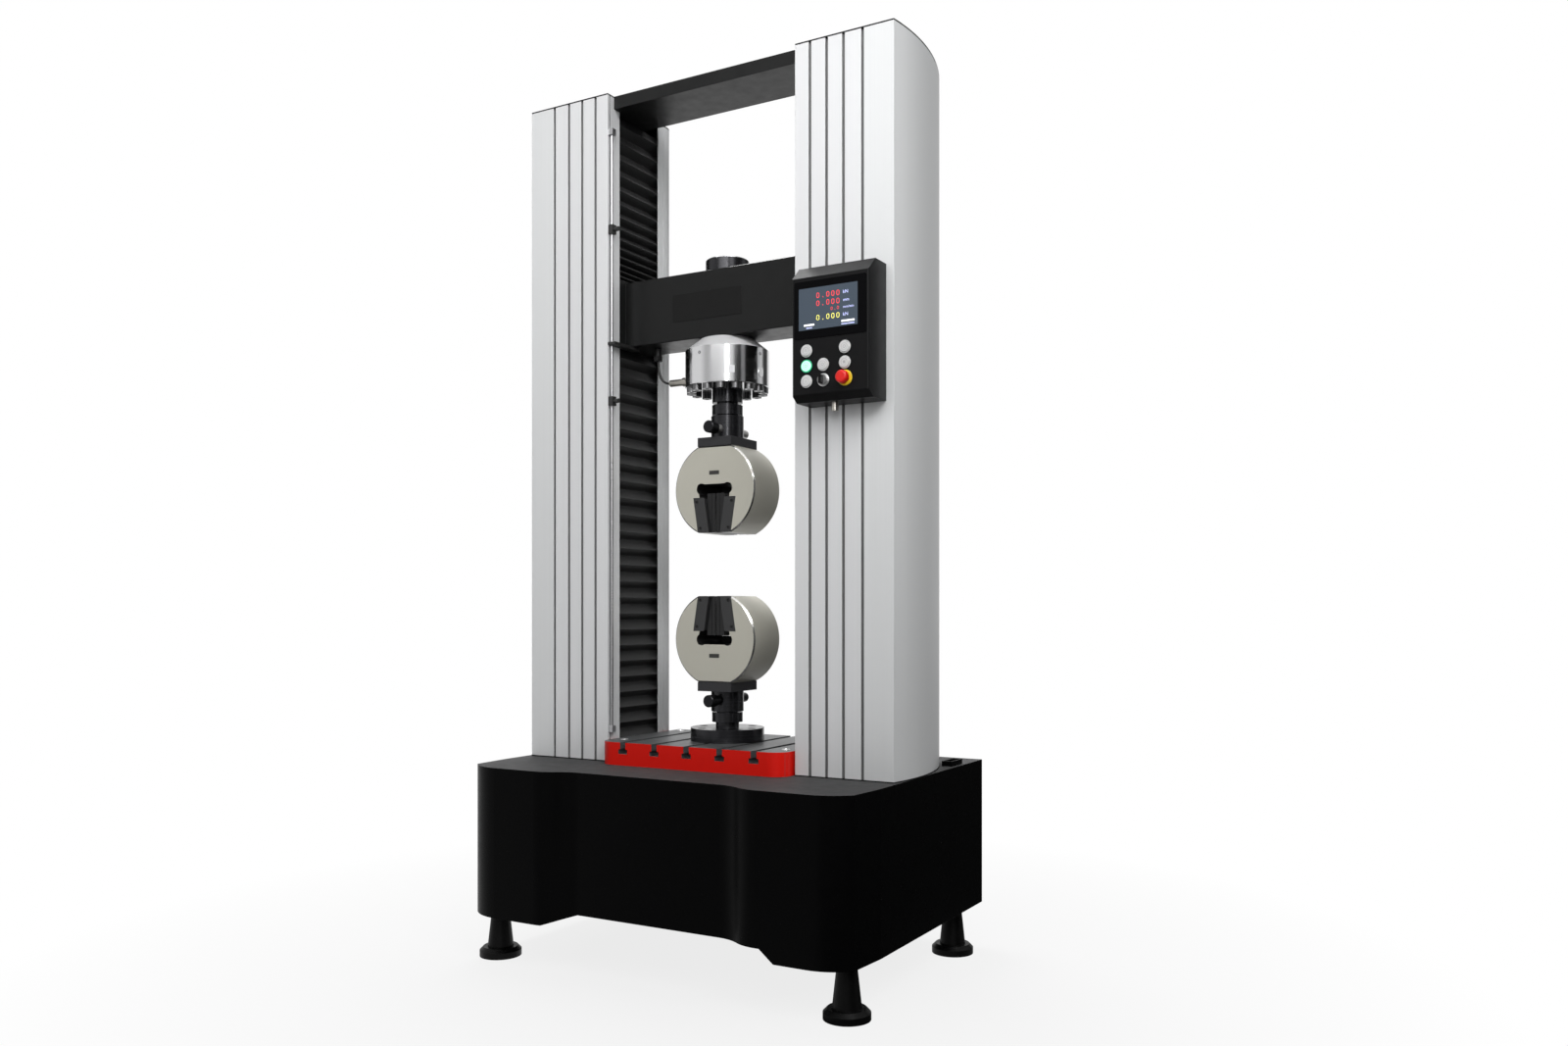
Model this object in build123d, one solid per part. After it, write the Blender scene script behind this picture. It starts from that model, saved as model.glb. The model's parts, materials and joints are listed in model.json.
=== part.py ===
from build123d import *
import math
import os

# Driving dimensions in millimetres, +Z up, origin on the floor under the test axis

# Frame: floor to base top, daylight between the columns, column height
foot_height = 130.0
cabinet_height = 410.0
clear_width = 612.0
column_height = 1902.0

# Base cabinet, a folded sheet shell with two rounded pods at the front
cabinet_overhang = 12.0
cabinet_depth = 848.0
cabinet_wall = 4.0
cabinet_top_sheet = 5.0
nose_recess = 38.0
nose_inset = 378.0
pod_inner_inset = 255.0
pod_outer_inset = 115.0
corner_inset = 10.0
corner_setback = 47.0
shoulder_setback = 170.0
toe_rise = 32.0
toe_left_top_inset = 375.0
toe_left_foot_inset = 277.0
toe_right_top_inset = 242.0
toe_right_foot_inset = 202.0
cable_frame_width = 30.0
cable_frame_length = 76.0
cable_frame_height = 14.0
cable_frame_wall = 4.0
cable_frame_inset = 12.0
cable_frame_front_y = 225.0
inlet_width = 48.0
inlet_height = 28.0
inlet_recess = 2.5
inlet_drop = 120.0

# Welded base frame inside the cabinet
bed_thickness = 60.0
bed_half_depth = 160.0
side_plate_inset = 95.0
side_plate_thickness = 20.0
rail_height = 40.0
rail_inset = 25.0
rail_setback = 62.0
shelf_height = 125.0
shelf_thickness = 12.0
shelf_front_y = 40.0
shelf_depth = 210.0

# Feet
foot_inset = 53.0
foot_setback = 94.0
foot_pad_radius = 58.0
foot_pad_height = 27.0
foot_pad_round = 10.0
foot_cone_low_radius = 36.0
foot_cone_top_radius = 24.5

# Column: grooved front extrusion and curved side cover
column_front_y = -153.5
profile_width = 191.0
profile_thickness = 20.0
profile_return_depth = 55.0
groove_width = 8.0
groove_depth = 8.0
groove_first = 44.0
groove_pitch = 48.5
groove_count = 3
side_line_width = 3.5
side_line_depth = 2.5
side_line_setback = 9.5
seam_width = 8.0
tongue_setback = 8.0
tongue_overlap = 8.0
cover_front_width = 83.0
cover_bulge = 10.0
cover_bulge_y = 20.0
cover_back_reach = 209.0
cover_back_y = 300.0
cover_back_flat = 85.0
cover_sheet = 4.0
lip_line_setback = 24.5
lip_round = 40.0
lip_line_depth = 2.0
slot_back_y = 93.5
inner_back_y = 150.0

# Crown beam with its cap plates
crown_height = 36.0
crown_front_y = -124.0
crown_depth = 176.0
crown_end_reach = 174.0
cap_thickness = 4.0

# Work table with T-slots
table_thickness = 63.5
table_front_y = -207.0
table_back_y = 190.0
table_side_gap = 8.0
table_corner_round = 45.0
tee_count = 5
tee_pitch = 106.0
tee_neck_width = 18.0
tee_neck_depth = 19.0
tee_head_width = 30.0
tee_head_height = 13.0

# Lower coupling: flange, shank, lock nut and socket
flange_radius = 104.0
flange_thickness = 36.5
flange_hole_ring_radius = 80.0
flange_hole_count = 6
flange_hole_radius = 12.0
flange_hole_depth = 20.0
shank_radius = 33.0
shank_length = 16.0
lower_nut_height = 27.0
lower_socket_height = 58.0
nut_radius = 43.5
nut_gap = 3.0
stud_radius = 30.0
socket_radius = 46.0

# Wedge grips
grip_radius = 132.0
grip_height = 241.0
grip_depth = 138.0
grip_rim_chamfer = 4.0
wedge_angle = 9.0
mouth_half_width = 33.7
pocket_depth = 135.0
relief_radius = 16.0
relief_offset = 43.0
relief_lift = 3.0
retainer_width = 36.0
retainer_length = 98.0
retainer_thickness = 8.0
retainer_overlap = 20.8
retainer_round = 4.0
retainer_screw_radius = 5.2
retainer_screw_depth = 5.0
retainer_screw_edge = 10.0
retainer_screw_end = 12.0
back_retainer_length = 113.0
back_cover_lap = 9.0
jaw_gap = 6.0
jaw_body_height = 95.0
jaw_head_height = 14.5
jaw_head_width = 25.0
jaw_lead_chamfer = 3.0
jaw_insert_thickness = 9.0
jaw_insert_groove = 1.5
specimen_gap = 177.0
grip_plate_width = 110.0
grip_plate_thickness = 25.0
tenon_length = 50.0

# Coupling pins
pin_radius = 13.5
pin_offset = 25.0
pin_front_reach = 100.0
pin_back_reach = 97.0
pin_knob_radius = 17.0
pin_knob_length = 34.0
pin_knob_groove = 2.0
pin_end_round = 6.0

# Upper coupling and load cell
upper_socket_height = 64.0
upper_nut_height = 28.0
adapter_neck = 7.0
adapter_height = 41.0
adapter_radius = 43.0
cell_radius = 119.0
cell_height = 103.0
cell_cone_height = 34.0
cell_cone_top_radius = 76.0
cell_edge_chamfer = 2.0
cell_bolt_count = 16
cell_bolt_ring_radius = 103.0
cell_bolt_radius = 13.5
cell_bolt_head = 15.0
cell_bolt_socket_radius = 6.5
cell_bolt_socket_depth = 10.0
connector_height = 33.0
connector_seat_depth = 1.5
connector_flange_radius = 13.0
connector_flange_length = 32.0
connector_radius = 10.0
connector_length = 45.0
cable_radius = 3.5
cable_bend = 40.0
cable_lead = 5.0
gland_radius = 11.0
gland_nut_radius = 14.0
gland_nut_height = 14.0
gland_height = 35.0

# Crosshead
crosshead_height = 187.0
crosshead_depth = 136.0
crosshead_end_reach = 184.0
crosshead_chamfer = 2.0
collar_thickness = 32.5
collar_gap = 1.5
boss_radius = 61.5
boss_height = 37.0
boss_bore_radius = 30.0
boss_bore_depth = 20.0
boss_chamfer = 3.0
striker_thickness = 8.0
striker_width = 20.0
striker_seat = 30.0

# Drive: ball screws, nuts, guide rods, bushes, bearings, belt and motor
screw_inset = 69.0
screw_radius = 25.0
screw_lower_journal = 20.0
screw_upper_journal = 15.0
screw_top_drop = 6.0
nut_outer_radius = 42.0
guide_inset = 144.0
guide_radius = 20.0
bush_outer_radius = 31.0
bush_inset = 5.0
lower_bearing_radius = 45.0
lower_bearing_height = 40.0
upper_bearing_radius = 31.0
upper_bearing_height = 20.0
pulley_radius = 60.0
pulley_height = 30.0
pulley_drop = 20.0
belt_width = 26.0
belt_thickness = 5.0
motor_y = 150.0
motor_width = 180.0
motor_corner = 18.0
motor_gap = 5.0
motor_pulley_radius = 45.0
motor_shaft_radius = 14.0
motor_shaft_depth = 25.0

# Limit rod, its end blocks and the two adjustable stops
rod_radius = 4.0
rod_standoff = 6.0
rod_y = -142.0
rod_bottom_gap = 20.0
rod_top_drop = 100.0
rod_block_height = 18.0
rod_block_width = 16.0
stop_height = 26.0
stop_width = 18.0
upper_stop_reach = 309.0
lower_stop_reach = 146.0
thumb_radius = 6.5
thumb_length = 16.0

# Bellows in the column slots
bellows_gap = 1.0
bellows_back_gap = 20.0
bellows_fold_depth = 22.0
bellows_sheet = 2.0
upper_fold_count = 15
lower_fold_count = 25

# Control box
box_offset = 46.5
box_width = 214.5
box_bottom_z = 1492.0
box_height = 342.0
box_depth = 98.0
box_wall = 3.0
box_brow_depth = 36.0
box_brow_height = 34.0
box_chin_depth = 24.0
box_chin_height = 17.0
box_corner_round = 5.0
screen_left = 7.5
screen_width = 200.0
screen_low = 155.0
screen_height = 143.0
screen_thickness = 5.0
screen_proud = 2.0
screen_round = 4.0
button_left = 42.5
button_middle = 89.5
button_right = 149.5
button_top = 124.5
button_pitch_z = 38.0
button_radius = 13.0
button_ring_radius = 17.0
button_ring_height = 2.5
button_stem_radius = 9.0
button_stem_length = 14.0
button_proud = 3.5
button_cap_round = 1.0
selector_radius = 13.0
selector_height = 9.0
selector_bar_width = 8.0
selector_bar_height = 12.0
stop_head_radius = 16.0
stop_head_height = 15.0
stop_head_round = 6.0
stop_neck_radius = 11.0
stop_neck_length = 14.0
stop_standoff = 12.0
panel_plug_radius = 9.0
panel_plug_length = 22.0
panel_plug_x = 96.5
panel_plug_y = -203.0

# Clearances
run_fit = 0.05
seat_fit = 0.05
slide_gap = 0.3
part_gap = 0.5
overcut = 1.0

# Heights worked out from the driving dimensions
base_top = foot_height + cabinet_height
bed_top = base_top - cabinet_top_sheet
bed_bottom = bed_top - bed_thickness
table_top = base_top + table_thickness
flange_top = table_top + flange_thickness
lower_nut_bottom = flange_top + shank_length
lower_socket_bottom = lower_nut_bottom + lower_nut_height + nut_gap
lower_socket_top = lower_socket_bottom + lower_socket_height
lower_mouth = lower_socket_top + grip_plate_thickness + grip_height
upper_mouth = lower_mouth + specimen_gap
upper_socket_bottom = upper_mouth + grip_height + grip_plate_thickness
upper_socket_top = upper_socket_bottom + upper_socket_height
upper_nut_bottom = upper_socket_top + nut_gap
adapter_bottom = upper_nut_bottom + upper_nut_height + adapter_neck
cell_bottom = adapter_bottom + adapter_height
crosshead_bottom = cell_bottom + cell_height + cell_cone_height
crosshead_top = crosshead_bottom + crosshead_height
column_top = base_top + column_height
crown_bottom = column_top - crown_height
cap_bottom = column_top - cap_thickness
pulley_top = bed_bottom - pulley_drop
pulley_bottom = pulley_top - pulley_height
shelf_top = foot_height + shelf_height + shelf_thickness

# Plan positions worked out from the driving dimensions
half_clear = clear_width / 2
profile_outer_x = half_clear + profile_width
cover_start_x = profile_outer_x + seam_width
cover_corner_x = cover_start_x + cover_front_width
cover_back_x = half_clear + cover_back_reach
half_width = cover_corner_x + cabinet_overhang
half_depth = cabinet_depth / 2
foot_x = half_width - foot_inset
foot_y = half_depth - foot_setback
screw_x = half_clear + screw_inset
guide_x = half_clear + guide_inset
box_left_x = half_clear + box_offset
slot_front_y = column_front_y + profile_return_depth
wedge_slope = math.tan(math.radians(wedge_angle))
rod_x = -(half_clear - rod_standoff)
box_front_y = column_front_y - box_depth


def block(x0, x1, y0, y1, z0, z1):
    """Box between two corners."""
    return Pos((x0 + x1) / 2, (y0 + y1) / 2, (z0 + z1) / 2) * Box(x1 - x0, y1 - y0, z1 - z0)


def post(radius, z0, z1, x=0.0, y=0.0):
    """Upright cylinder between two heights."""
    return Pos(x, y, (z0 + z1) / 2) * Cylinder(radius, z1 - z0)


def bar(radius, y0, y1, x, z):
    """Cylinder along Y between two depths."""
    return Pos(x, (y0 + y1) / 2, z) * Rot(90, 0, 0) * Cylinder(radius, y1 - y0)


def ring(outer, inner, z0, z1, x=0.0, y=0.0):
    """Upright tube between two heights."""
    return post(outer, z0, z1, x, y) - post(inner, z0 - overcut, z1 + overcut, x, y)


def turned(points, x=0.0, y=0.0):
    """Solid of revolution about an upright axis from radius and height pairs."""
    profile = Plane.XZ * make_face(Polyline(*points, close=True))
    return Pos(x, y, 0) * revolve(profile, Axis.Z)


def upright(face, z0, z1):
    """Plan face raised between two heights."""
    return Pos(0, 0, z0) * extrude(face, z1 - z0)


def front_prism(face, y0, y1):
    """Face drawn in X and Z, swept from one depth to a deeper one."""
    return Pos(0, y0, 0) * extrude(Plane.XZ * face, -(y1 - y0))


def mirrored(shape):
    """The same piece on the other side of the test axis."""
    return mirror(shape, about=Plane.YZ)


def group(solids):
    """Several like solids as one node."""
    return Compound(children=list(solids))


# Base cabinet
def cabinet_plan():
    front = -half_depth
    centre_y = front + nose_recess
    nose_x = half_width - nose_inset
    inner_x = half_width - pod_inner_inset
    outer_x = half_width - pod_outer_inset
    bend = ((nose_x + inner_x) / 2, (centre_y + front) / 2)
    corner = (half_width - corner_inset, front + corner_setback)
    shoulder = (half_width, front + shoulder_setback)
    edges = [
        Line((0, centre_y), (nose_x, centre_y)),
        TangentArc((nose_x, centre_y), bend, tangent=(1, 0)),
        TangentArc((inner_x, front), bend, tangent=(-1, 0)),
        Line((inner_x, front), (outer_x, front)),
        TangentArc((outer_x, front), corner, tangent=(1, 0)),
        Polyline(corner, shoulder, (half_width, half_depth), (0, half_depth), (0, centre_y)),
    ]
    right = make_face(Curve() + edges)
    return right + mirrored(right)


def cable_frame():
    x1 = half_width - cable_frame_inset
    x0 = x1 - cable_frame_width
    y0 = cable_frame_front_y
    y1 = y0 + cable_frame_length
    top = base_top + cable_frame_height
    wall = cable_frame_wall
    outer = block(x0, x1, y0, y1, base_top, top)
    return outer - block(x0 + wall, x1 - wall, y0 + wall, y1 - wall, base_top, top + overcut)


def base_cabinet():
    plan = cabinet_plan()
    shell = upright(plan, foot_height, base_top)
    shell -= upright(offset(plan, -cabinet_wall), foot_height - overcut, bed_top)
    rise = foot_height + toe_rise
    low = foot_height - overcut
    left_foot = toe_left_foot_inset - half_width
    right_foot = half_width - toe_right_foot_inset
    toe = make_face(Polyline(
        (left_foot, low), (left_foot, foot_height), (toe_left_top_inset - half_width, rise),
        (half_width - toe_right_top_inset, rise), (right_foot, foot_height), (right_foot, low), close=True))
    shell -= front_prism(toe, -half_depth - overcut, -half_depth + nose_recess + 2 * cabinet_wall)
    for side in (-1, 1):
        shell -= post(screw_radius + part_gap, bed_top - overcut, base_top + overcut, side * screw_x)
        shell -= post(guide_radius + part_gap, bed_top - overcut, base_top + overcut, side * guide_x)
    shell = shell + cable_frame() + mirrored(cable_frame())
    inlet_z = base_top - inlet_drop
    return shell - block(-inlet_width / 2, inlet_width / 2, half_depth - inlet_recess, half_depth + overcut,
                         inlet_z - inlet_height / 2, inlet_z + inlet_height / 2)


# Welded base frame
def base_frame():
    side = half_width - side_plate_inset
    inner = side - side_plate_thickness
    rail_x = half_width - rail_inset
    rail_y = half_depth - rail_setback
    frame = block(-side, side, -bed_half_depth, bed_half_depth, bed_bottom, bed_top)
    shelf_low = foot_height + shelf_height
    frame += block(-inner, inner, shelf_front_y, shelf_front_y + shelf_depth, shelf_low, shelf_top)
    for sign in (-1, 1):
        x0, x1 = sorted((sign * inner, sign * side))
        frame += block(x0, x1, -bed_half_depth, bed_half_depth, foot_height, bed_bottom)
        x0, x1 = sorted((sign * inner, sign * rail_x))
        frame += block(x0, x1, -rail_y, rail_y, foot_height, foot_height + rail_height)
        frame -= post(lower_bearing_radius + seat_fit, bed_bottom - overcut, bed_top + overcut,
                      sign * screw_x)
    return frame


def machine_feet():
    outline = [(0, 0), (foot_pad_radius, 0), (foot_pad_radius, foot_pad_height - foot_pad_round),
               (foot_pad_radius - foot_pad_round, foot_pad_height), (foot_cone_low_radius, foot_pad_height),
               (foot_cone_top_radius, foot_height), (0, foot_height)]
    return group(turned(outline, sx * foot_x, sy * foot_y) for sx in (-1, 1) for sy in (-1, 1))


# Columns
def column_profile():
    x0 = half_clear
    x1 = profile_outer_x
    back = column_front_y + profile_thickness
    solid = block(x0, x1, column_front_y, back, base_top, cap_bottom)
    solid += block(x0, x0 + profile_thickness, column_front_y, slot_front_y, base_top, cap_bottom)
    tongue_x = cover_start_x + tongue_overlap
    solid += block(x1, tongue_x, column_front_y + tongue_setback, back, base_top, cap_bottom)
    for index in range(groove_count):
        x = x0 + groove_first + index * groove_pitch
        solid -= block(x - groove_width / 2, x + groove_width / 2, column_front_y - overcut,
                       column_front_y + groove_depth, base_top - overcut, column_top)
    y = column_front_y + side_line_setback
    solid -= block(x0 - overcut, x0 + side_line_depth, y - side_line_width / 2, y + side_line_width / 2,
                   base_top - overcut, column_top)
    solid -= block(x0 - overcut, x1 - profile_thickness, crown_front_y - part_gap, slot_front_y + overcut,
                   crown_bottom - part_gap, column_top)
    return solid


def column_plan():
    """Outline of a whole column, with the rounded lip behind the slot."""
    corner = (cover_corner_x, column_front_y)
    bulge = (cover_corner_x + cover_bulge, cover_bulge_y)
    back = (cover_back_x, cover_back_y)
    inner = (half_clear, inner_back_y)
    plan = make_face(Curve() + [
        ThreePointArc(corner, bulge, back),
        Polyline(back, (cover_back_x - cover_back_flat, cover_back_y), inner, (half_clear, column_front_y), corner),
    ])
    return fillet(plan.vertices().sort_by_distance(inner)[0], lip_round)


def column_cover():
    outer = column_plan()
    hollow = offset(outer, -cover_sheet)
    opening = make_face(Polyline(
        (half_clear - overcut, column_front_y - overcut), (cover_start_x, column_front_y - overcut),
        (cover_start_x, column_front_y + 2 * cover_sheet), (half_clear + 2 * cover_sheet, slot_back_y),
        (half_clear - overcut, slot_back_y), close=True))
    y = slot_back_y + lip_line_setback
    line = block(half_clear - overcut, half_clear + lip_line_depth, y - side_line_width / 2,
                 y + side_line_width / 2, base_top - overcut, column_top)
    return upright(outer - hollow - opening, base_top, cap_bottom) - line


def crown_beam():
    back_y = crown_front_y + crown_depth
    beam = block(-half_clear, half_clear, crown_front_y, back_y, crown_bottom, column_top)
    reach = half_clear + crown_end_reach
    beam += block(-reach, reach, crown_front_y, back_y, crown_bottom, cap_bottom)
    cap = upright(column_plan(), cap_bottom, column_top)
    beam = beam + cap + mirrored(cap)
    for side in (-1, 1):
        beam -= post(upper_bearing_radius + seat_fit, crown_bottom - overcut,
                     crown_bottom + upper_bearing_height + part_gap, side * screw_x)
    return beam


# Work table
def work_table():
    half = half_clear - table_side_gap
    plan = Pos(0, (table_front_y + table_back_y) / 2) * Rectangle(2 * half, table_back_y - table_front_y)
    plan = fillet(plan.vertices().group_by(Axis.Y)[0], table_corner_round)
    table = upright(plan, base_top, table_top)
    neck_floor = table_top - tee_neck_depth
    head_floor = neck_floor - tee_head_height
    for index in range(tee_count):
        x = (index - (tee_count - 1) / 2) * tee_pitch
        table -= block(x - tee_neck_width / 2, x + tee_neck_width / 2, table_front_y - overcut,
                       table_back_y + overcut, neck_floor, table_top + overcut)
        table -= block(x - tee_head_width / 2, x + tee_head_width / 2, table_front_y - overcut,
                       table_back_y + overcut, head_floor, neck_floor)
    return table


# Lower coupling
def lower_flange():
    stud_top = lower_socket_top - tenon_length - part_gap
    points = [(0, table_top), (flange_radius, table_top), (flange_radius, flange_top),
              (shank_radius, flange_top), (shank_radius, lower_nut_bottom),
              (stud_radius, lower_nut_bottom), (stud_radius, stud_top), (0, stud_top)]
    solid = turned(points)
    for seat in PolarLocations(flange_hole_ring_radius, flange_hole_count):
        solid -= seat * post(flange_hole_radius, flange_top - flange_hole_depth, flange_top + overcut)
    return solid


def lock_nut(bottom, height):
    return ring(nut_radius, stud_radius + seat_fit, bottom, bottom + height)


def socket(bottom, top, pin_z):
    body = ring(socket_radius, stud_radius + seat_fit, bottom, top)
    return body - bar(pin_radius + run_fit, -2 * socket_radius, 2 * socket_radius, 0, pin_z)


# Wedge grips, drawn with the mouth at height zero and the body above it
def grip_body():
    middle = grip_height / 2
    disc = Pos(0, middle) * Circle(grip_radius) & Pos(0, middle) * Rectangle(2 * grip_radius, grip_height)
    half = grip_depth / 2
    body = front_prism(disc, -half, half)
    rims = body.faces().sort_by(Axis.Y)
    body = chamfer(rims[0].edges() + rims[-1].edges(), grip_rim_chamfer)
    top_half = mouth_half_width + pocket_depth * wedge_slope
    low_half = mouth_half_width - overcut * wedge_slope
    wedge = make_face(Polyline((-low_half, -overcut), (low_half, -overcut), (top_half, pocket_depth),
                               (-top_half, pocket_depth), close=True))
    centre = pocket_depth - relief_radius + relief_lift
    pocket = wedge + [Pos(side * relief_offset, centre) * Circle(relief_radius) for side in (-1, 1)]
    body -= front_prism(pocket, -half - overcut, half + overcut)
    seat = half - retainer_thickness
    front = retainer_plan(retainer_length, slide_gap)
    back = retainer_plan(back_retainer_length, slide_gap)
    for turn in (front, mirrored(front)):
        body -= front_prism(turn, -half - overcut, -seat)
    for turn in (back, mirrored(back), back_cover_plan(slide_gap)):
        body -= front_prism(turn, seat, half + overcut)
    return body


def retainer_plan(length, margin):
    outer = mouth_half_width + retainer_overlap + margin
    inner = outer - retainer_width - 2 * margin
    low = -overcut if margin else 0.0
    high = length + margin
    return make_face(Polyline(
        (inner + low * wedge_slope, low), (outer + low * wedge_slope, low),
        (outer + high * wedge_slope, high), (inner + high * wedge_slope, high), close=True))


def back_cover_plan(margin):
    half = relief_offset + relief_radius + back_cover_lap + margin
    low = back_retainer_length + part_gap - margin
    high = pocket_depth + relief_lift + back_cover_lap + margin
    return make_face(Polyline((-half, low), (half, low), (half, high), (-half, high), close=True))


def front_plate(plan):
    """Plate let into the front of the grip, with rounded corners."""
    half = grip_depth / 2
    return front_prism(fillet(plan.vertices(), retainer_round), -half, -half + retainer_thickness)


def retainer(length):
    half = grip_depth / 2
    plate = front_plate(retainer_plan(length, 0.0))
    edge = mouth_half_width + retainer_overlap - retainer_screw_edge
    for height in (retainer_screw_end, length - retainer_screw_end):
        x = edge + height * wedge_slope
        plate -= bar(retainer_screw_radius, -half - overcut, -half + retainer_screw_depth, x, height)
    return plate


def jaw_retainers():
    """Two plates in front, two longer ones and a pocket cover at the back."""
    front = retainer(retainer_length)
    back = mirror(retainer(back_retainer_length), about=Plane.XZ)
    cover = mirror(front_plate(back_cover_plan(0.0)), about=Plane.XZ)
    return [front, mirrored(front), back, mirrored(back), cover]


def jaw():
    inner = jaw_gap / 2
    wall = mouth_half_width - slide_gap
    top = jaw_body_height + jaw_head_height
    head_x = inner + jaw_head_width
    outline = make_face(Polyline(
        (inner, jaw_lead_chamfer), (inner + jaw_lead_chamfer, 0), (wall, 0),
        (wall + jaw_body_height * wedge_slope, jaw_body_height), (head_x, jaw_body_height), (head_x, top),
        (inner, top), close=True))
    half = grip_depth / 2 - retainer_thickness - slide_gap
    solid = front_prism(outline, -half, half)
    seam = inner + jaw_insert_thickness
    groove = jaw_insert_groove
    for y in (-half, half):
        solid -= block(seam, seam + groove, y - groove, y + groove, -overcut, top + overcut)
    return solid


def grip_plate():
    half = grip_plate_width / 2
    top = grip_height + grip_plate_thickness
    plate = block(-half, half, -grip_depth / 2, grip_depth / 2, grip_height, top)
    plate += post(stud_radius, top, top + tenon_length)
    return plate - bar(pin_radius + run_fit, -2 * stud_radius, 2 * stud_radius, 0, top + pin_offset)


def upper_grip(shape):
    """Place a grip piece on the crosshead side, mouth down."""
    return Pos(0, 0, upper_mouth) * shape


def lower_grip(shape):
    """Place a grip piece on the table side, mouth up."""
    return Pos(0, 0, lower_mouth) * mirror(shape, about=Plane.XY)


# Coupling pins along Y
def coupling_pin(z):
    knob_back = -pin_front_reach + pin_knob_length
    pin = bar(pin_radius, knob_back, pin_back_reach, 0, z)
    pin = fillet(pin.edges().sort_by(Axis.Y)[-1], pin_end_round)
    knob = bar(pin_knob_radius, -pin_front_reach, knob_back, 0, z)
    knob = chamfer(knob.edges().filter_by(GeomType.CIRCLE), pin_knob_groove)
    return pin + knob


# Upper coupling and load cell
def upper_adapter():
    stud_bottom = upper_socket_bottom + tenon_length + part_gap
    return turned([(0, stud_bottom), (stud_radius, stud_bottom), (stud_radius, adapter_bottom),
                   (adapter_radius, adapter_bottom), (adapter_radius, cell_bottom), (0, cell_bottom)])


def load_cell():
    shoulder = cell_bottom + cell_height
    edge = cell_edge_chamfer
    body = turned([(0, cell_bottom), (cell_radius - edge, cell_bottom), (cell_radius, cell_bottom + edge),
                   (cell_radius, shoulder), (cell_cone_top_radius, crosshead_bottom), (0, crosshead_bottom)])
    z = cell_bottom + connector_height
    reach = connector_flange_radius + part_gap
    return body - block(-cell_radius - overcut, -cell_radius + connector_seat_depth, -reach, reach,
                        z - reach, z + reach)


def load_cell_bolts():
    low = cell_bottom - cell_bolt_head
    head = post(cell_bolt_radius, low, cell_bottom)
    socket_hole = Pos(0, 0, low) * extrude(RegularPolygon(cell_bolt_socket_radius, 6), cell_bolt_socket_depth)
    head -= socket_hole
    return group(place * head for place in PolarLocations(cell_bolt_ring_radius, cell_bolt_count))


def load_cell_connector():
    z = cell_bottom + connector_height
    x0 = -cell_radius + connector_seat_depth
    x1 = x0 - connector_flange_length
    x2 = x1 - connector_length
    flange = Pos((x0 + x1) / 2, 0, z) * Rot(0, 90, 0) * Cylinder(connector_flange_radius, x0 - x1)
    return flange + Pos((x1 + x2) / 2, 0, z) * Rot(0, 90, 0) * Cylinder(connector_radius, x1 - x2)


def cable_ends():
    z = cell_bottom + connector_height
    start = -cell_radius + connector_seat_depth - connector_flange_length - connector_length
    gland_x = start - cable_lead - cable_bend
    return start, z, gland_x, crosshead_bottom - gland_height


def load_cell_cable():
    start, z, gland_x, top = cable_ends()
    path = FilletPolyline((start, 0, z), (gland_x, 0, z), (gland_x, 0, top), radius=cable_bend)
    tube = sweep(Plane(origin=(start, 0, z), z_dir=(-1, 0, 0)) * Circle(cable_radius), path=path)
    share = tube.volume / (math.pi * cable_radius ** 2 * path.length)
    print("cable bend", cable_bend, "length", round(path.length, 1), "volume share", round(share, 4))
    return tube


def cable_gland():
    gland_x = cable_ends()[2]
    low = crosshead_bottom - gland_height
    nut = Pos(gland_x, 0, low) * extrude(RegularPolygon(gland_nut_radius, 6), gland_nut_height)
    return nut + post(gland_radius, low + gland_nut_height, crosshead_bottom, gland_x)


# Crosshead
def crosshead_beam():
    half = crosshead_depth / 2
    reach = half_clear + crosshead_end_reach
    beam = block(-reach, reach, -half, half, crosshead_bottom, crosshead_top)
    beam = chamfer(beam.edges().filter_by(Axis.X), crosshead_chamfer)
    near = half_clear + collar_gap
    for side in (-1, 1):
        x0, x1 = sorted((side * near, side * (near + collar_thickness)))
        beam += block(x0, x1, slot_front_y + collar_gap, slot_back_y - collar_gap, crosshead_bottom,
                      crosshead_top)
        beam -= post(nut_outer_radius + seat_fit, crosshead_bottom - overcut, crosshead_top + overcut,
                     side * screw_x)
        beam -= post(bush_outer_radius + seat_fit, crosshead_bottom - overcut, crosshead_top + overcut,
                     side * guide_x)
    return beam


def crosshead_boss():
    top = crosshead_top + boss_height
    floor = top - boss_bore_depth
    return turned([(0, crosshead_top), (boss_radius, crosshead_top), (boss_radius, top - boss_chamfer),
                   (boss_radius - boss_chamfer, top), (boss_bore_radius, top), (boss_bore_radius, floor),
                   (0, floor)])


def limit_striker():
    low = crosshead_bottom - striker_thickness
    x1 = rod_x + striker_width
    y1 = -crosshead_depth / 2 + striker_seat
    y0 = rod_y - rod_radius - part_gap - striker_thickness
    arm = block(rod_x - rod_standoff + part_gap, x1, y0, y1, low, crosshead_bottom)
    return arm - post(rod_radius + part_gap, low - overcut, crosshead_bottom + overcut, rod_x, rod_y)


# Drive
def ball_screw(side):
    x = side * screw_x
    top = crown_bottom + upper_bearing_height
    shoulder = crown_bottom - screw_top_drop
    return turned([(0, pulley_bottom), (pulley_radius, pulley_bottom), (pulley_radius, pulley_top),
                   (screw_lower_journal, pulley_top), (screw_lower_journal, base_top),
                   (screw_radius, base_top), (screw_radius, shoulder), (screw_upper_journal, shoulder),
                   (screw_upper_journal, top), (0, top)], x)


def ball_nuts():
    low = crosshead_bottom + bush_inset
    high = crosshead_top - bush_inset
    bore = screw_radius + run_fit
    return group(ring(nut_outer_radius, bore, low, high, side * screw_x) for side in (-1, 1))


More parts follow.
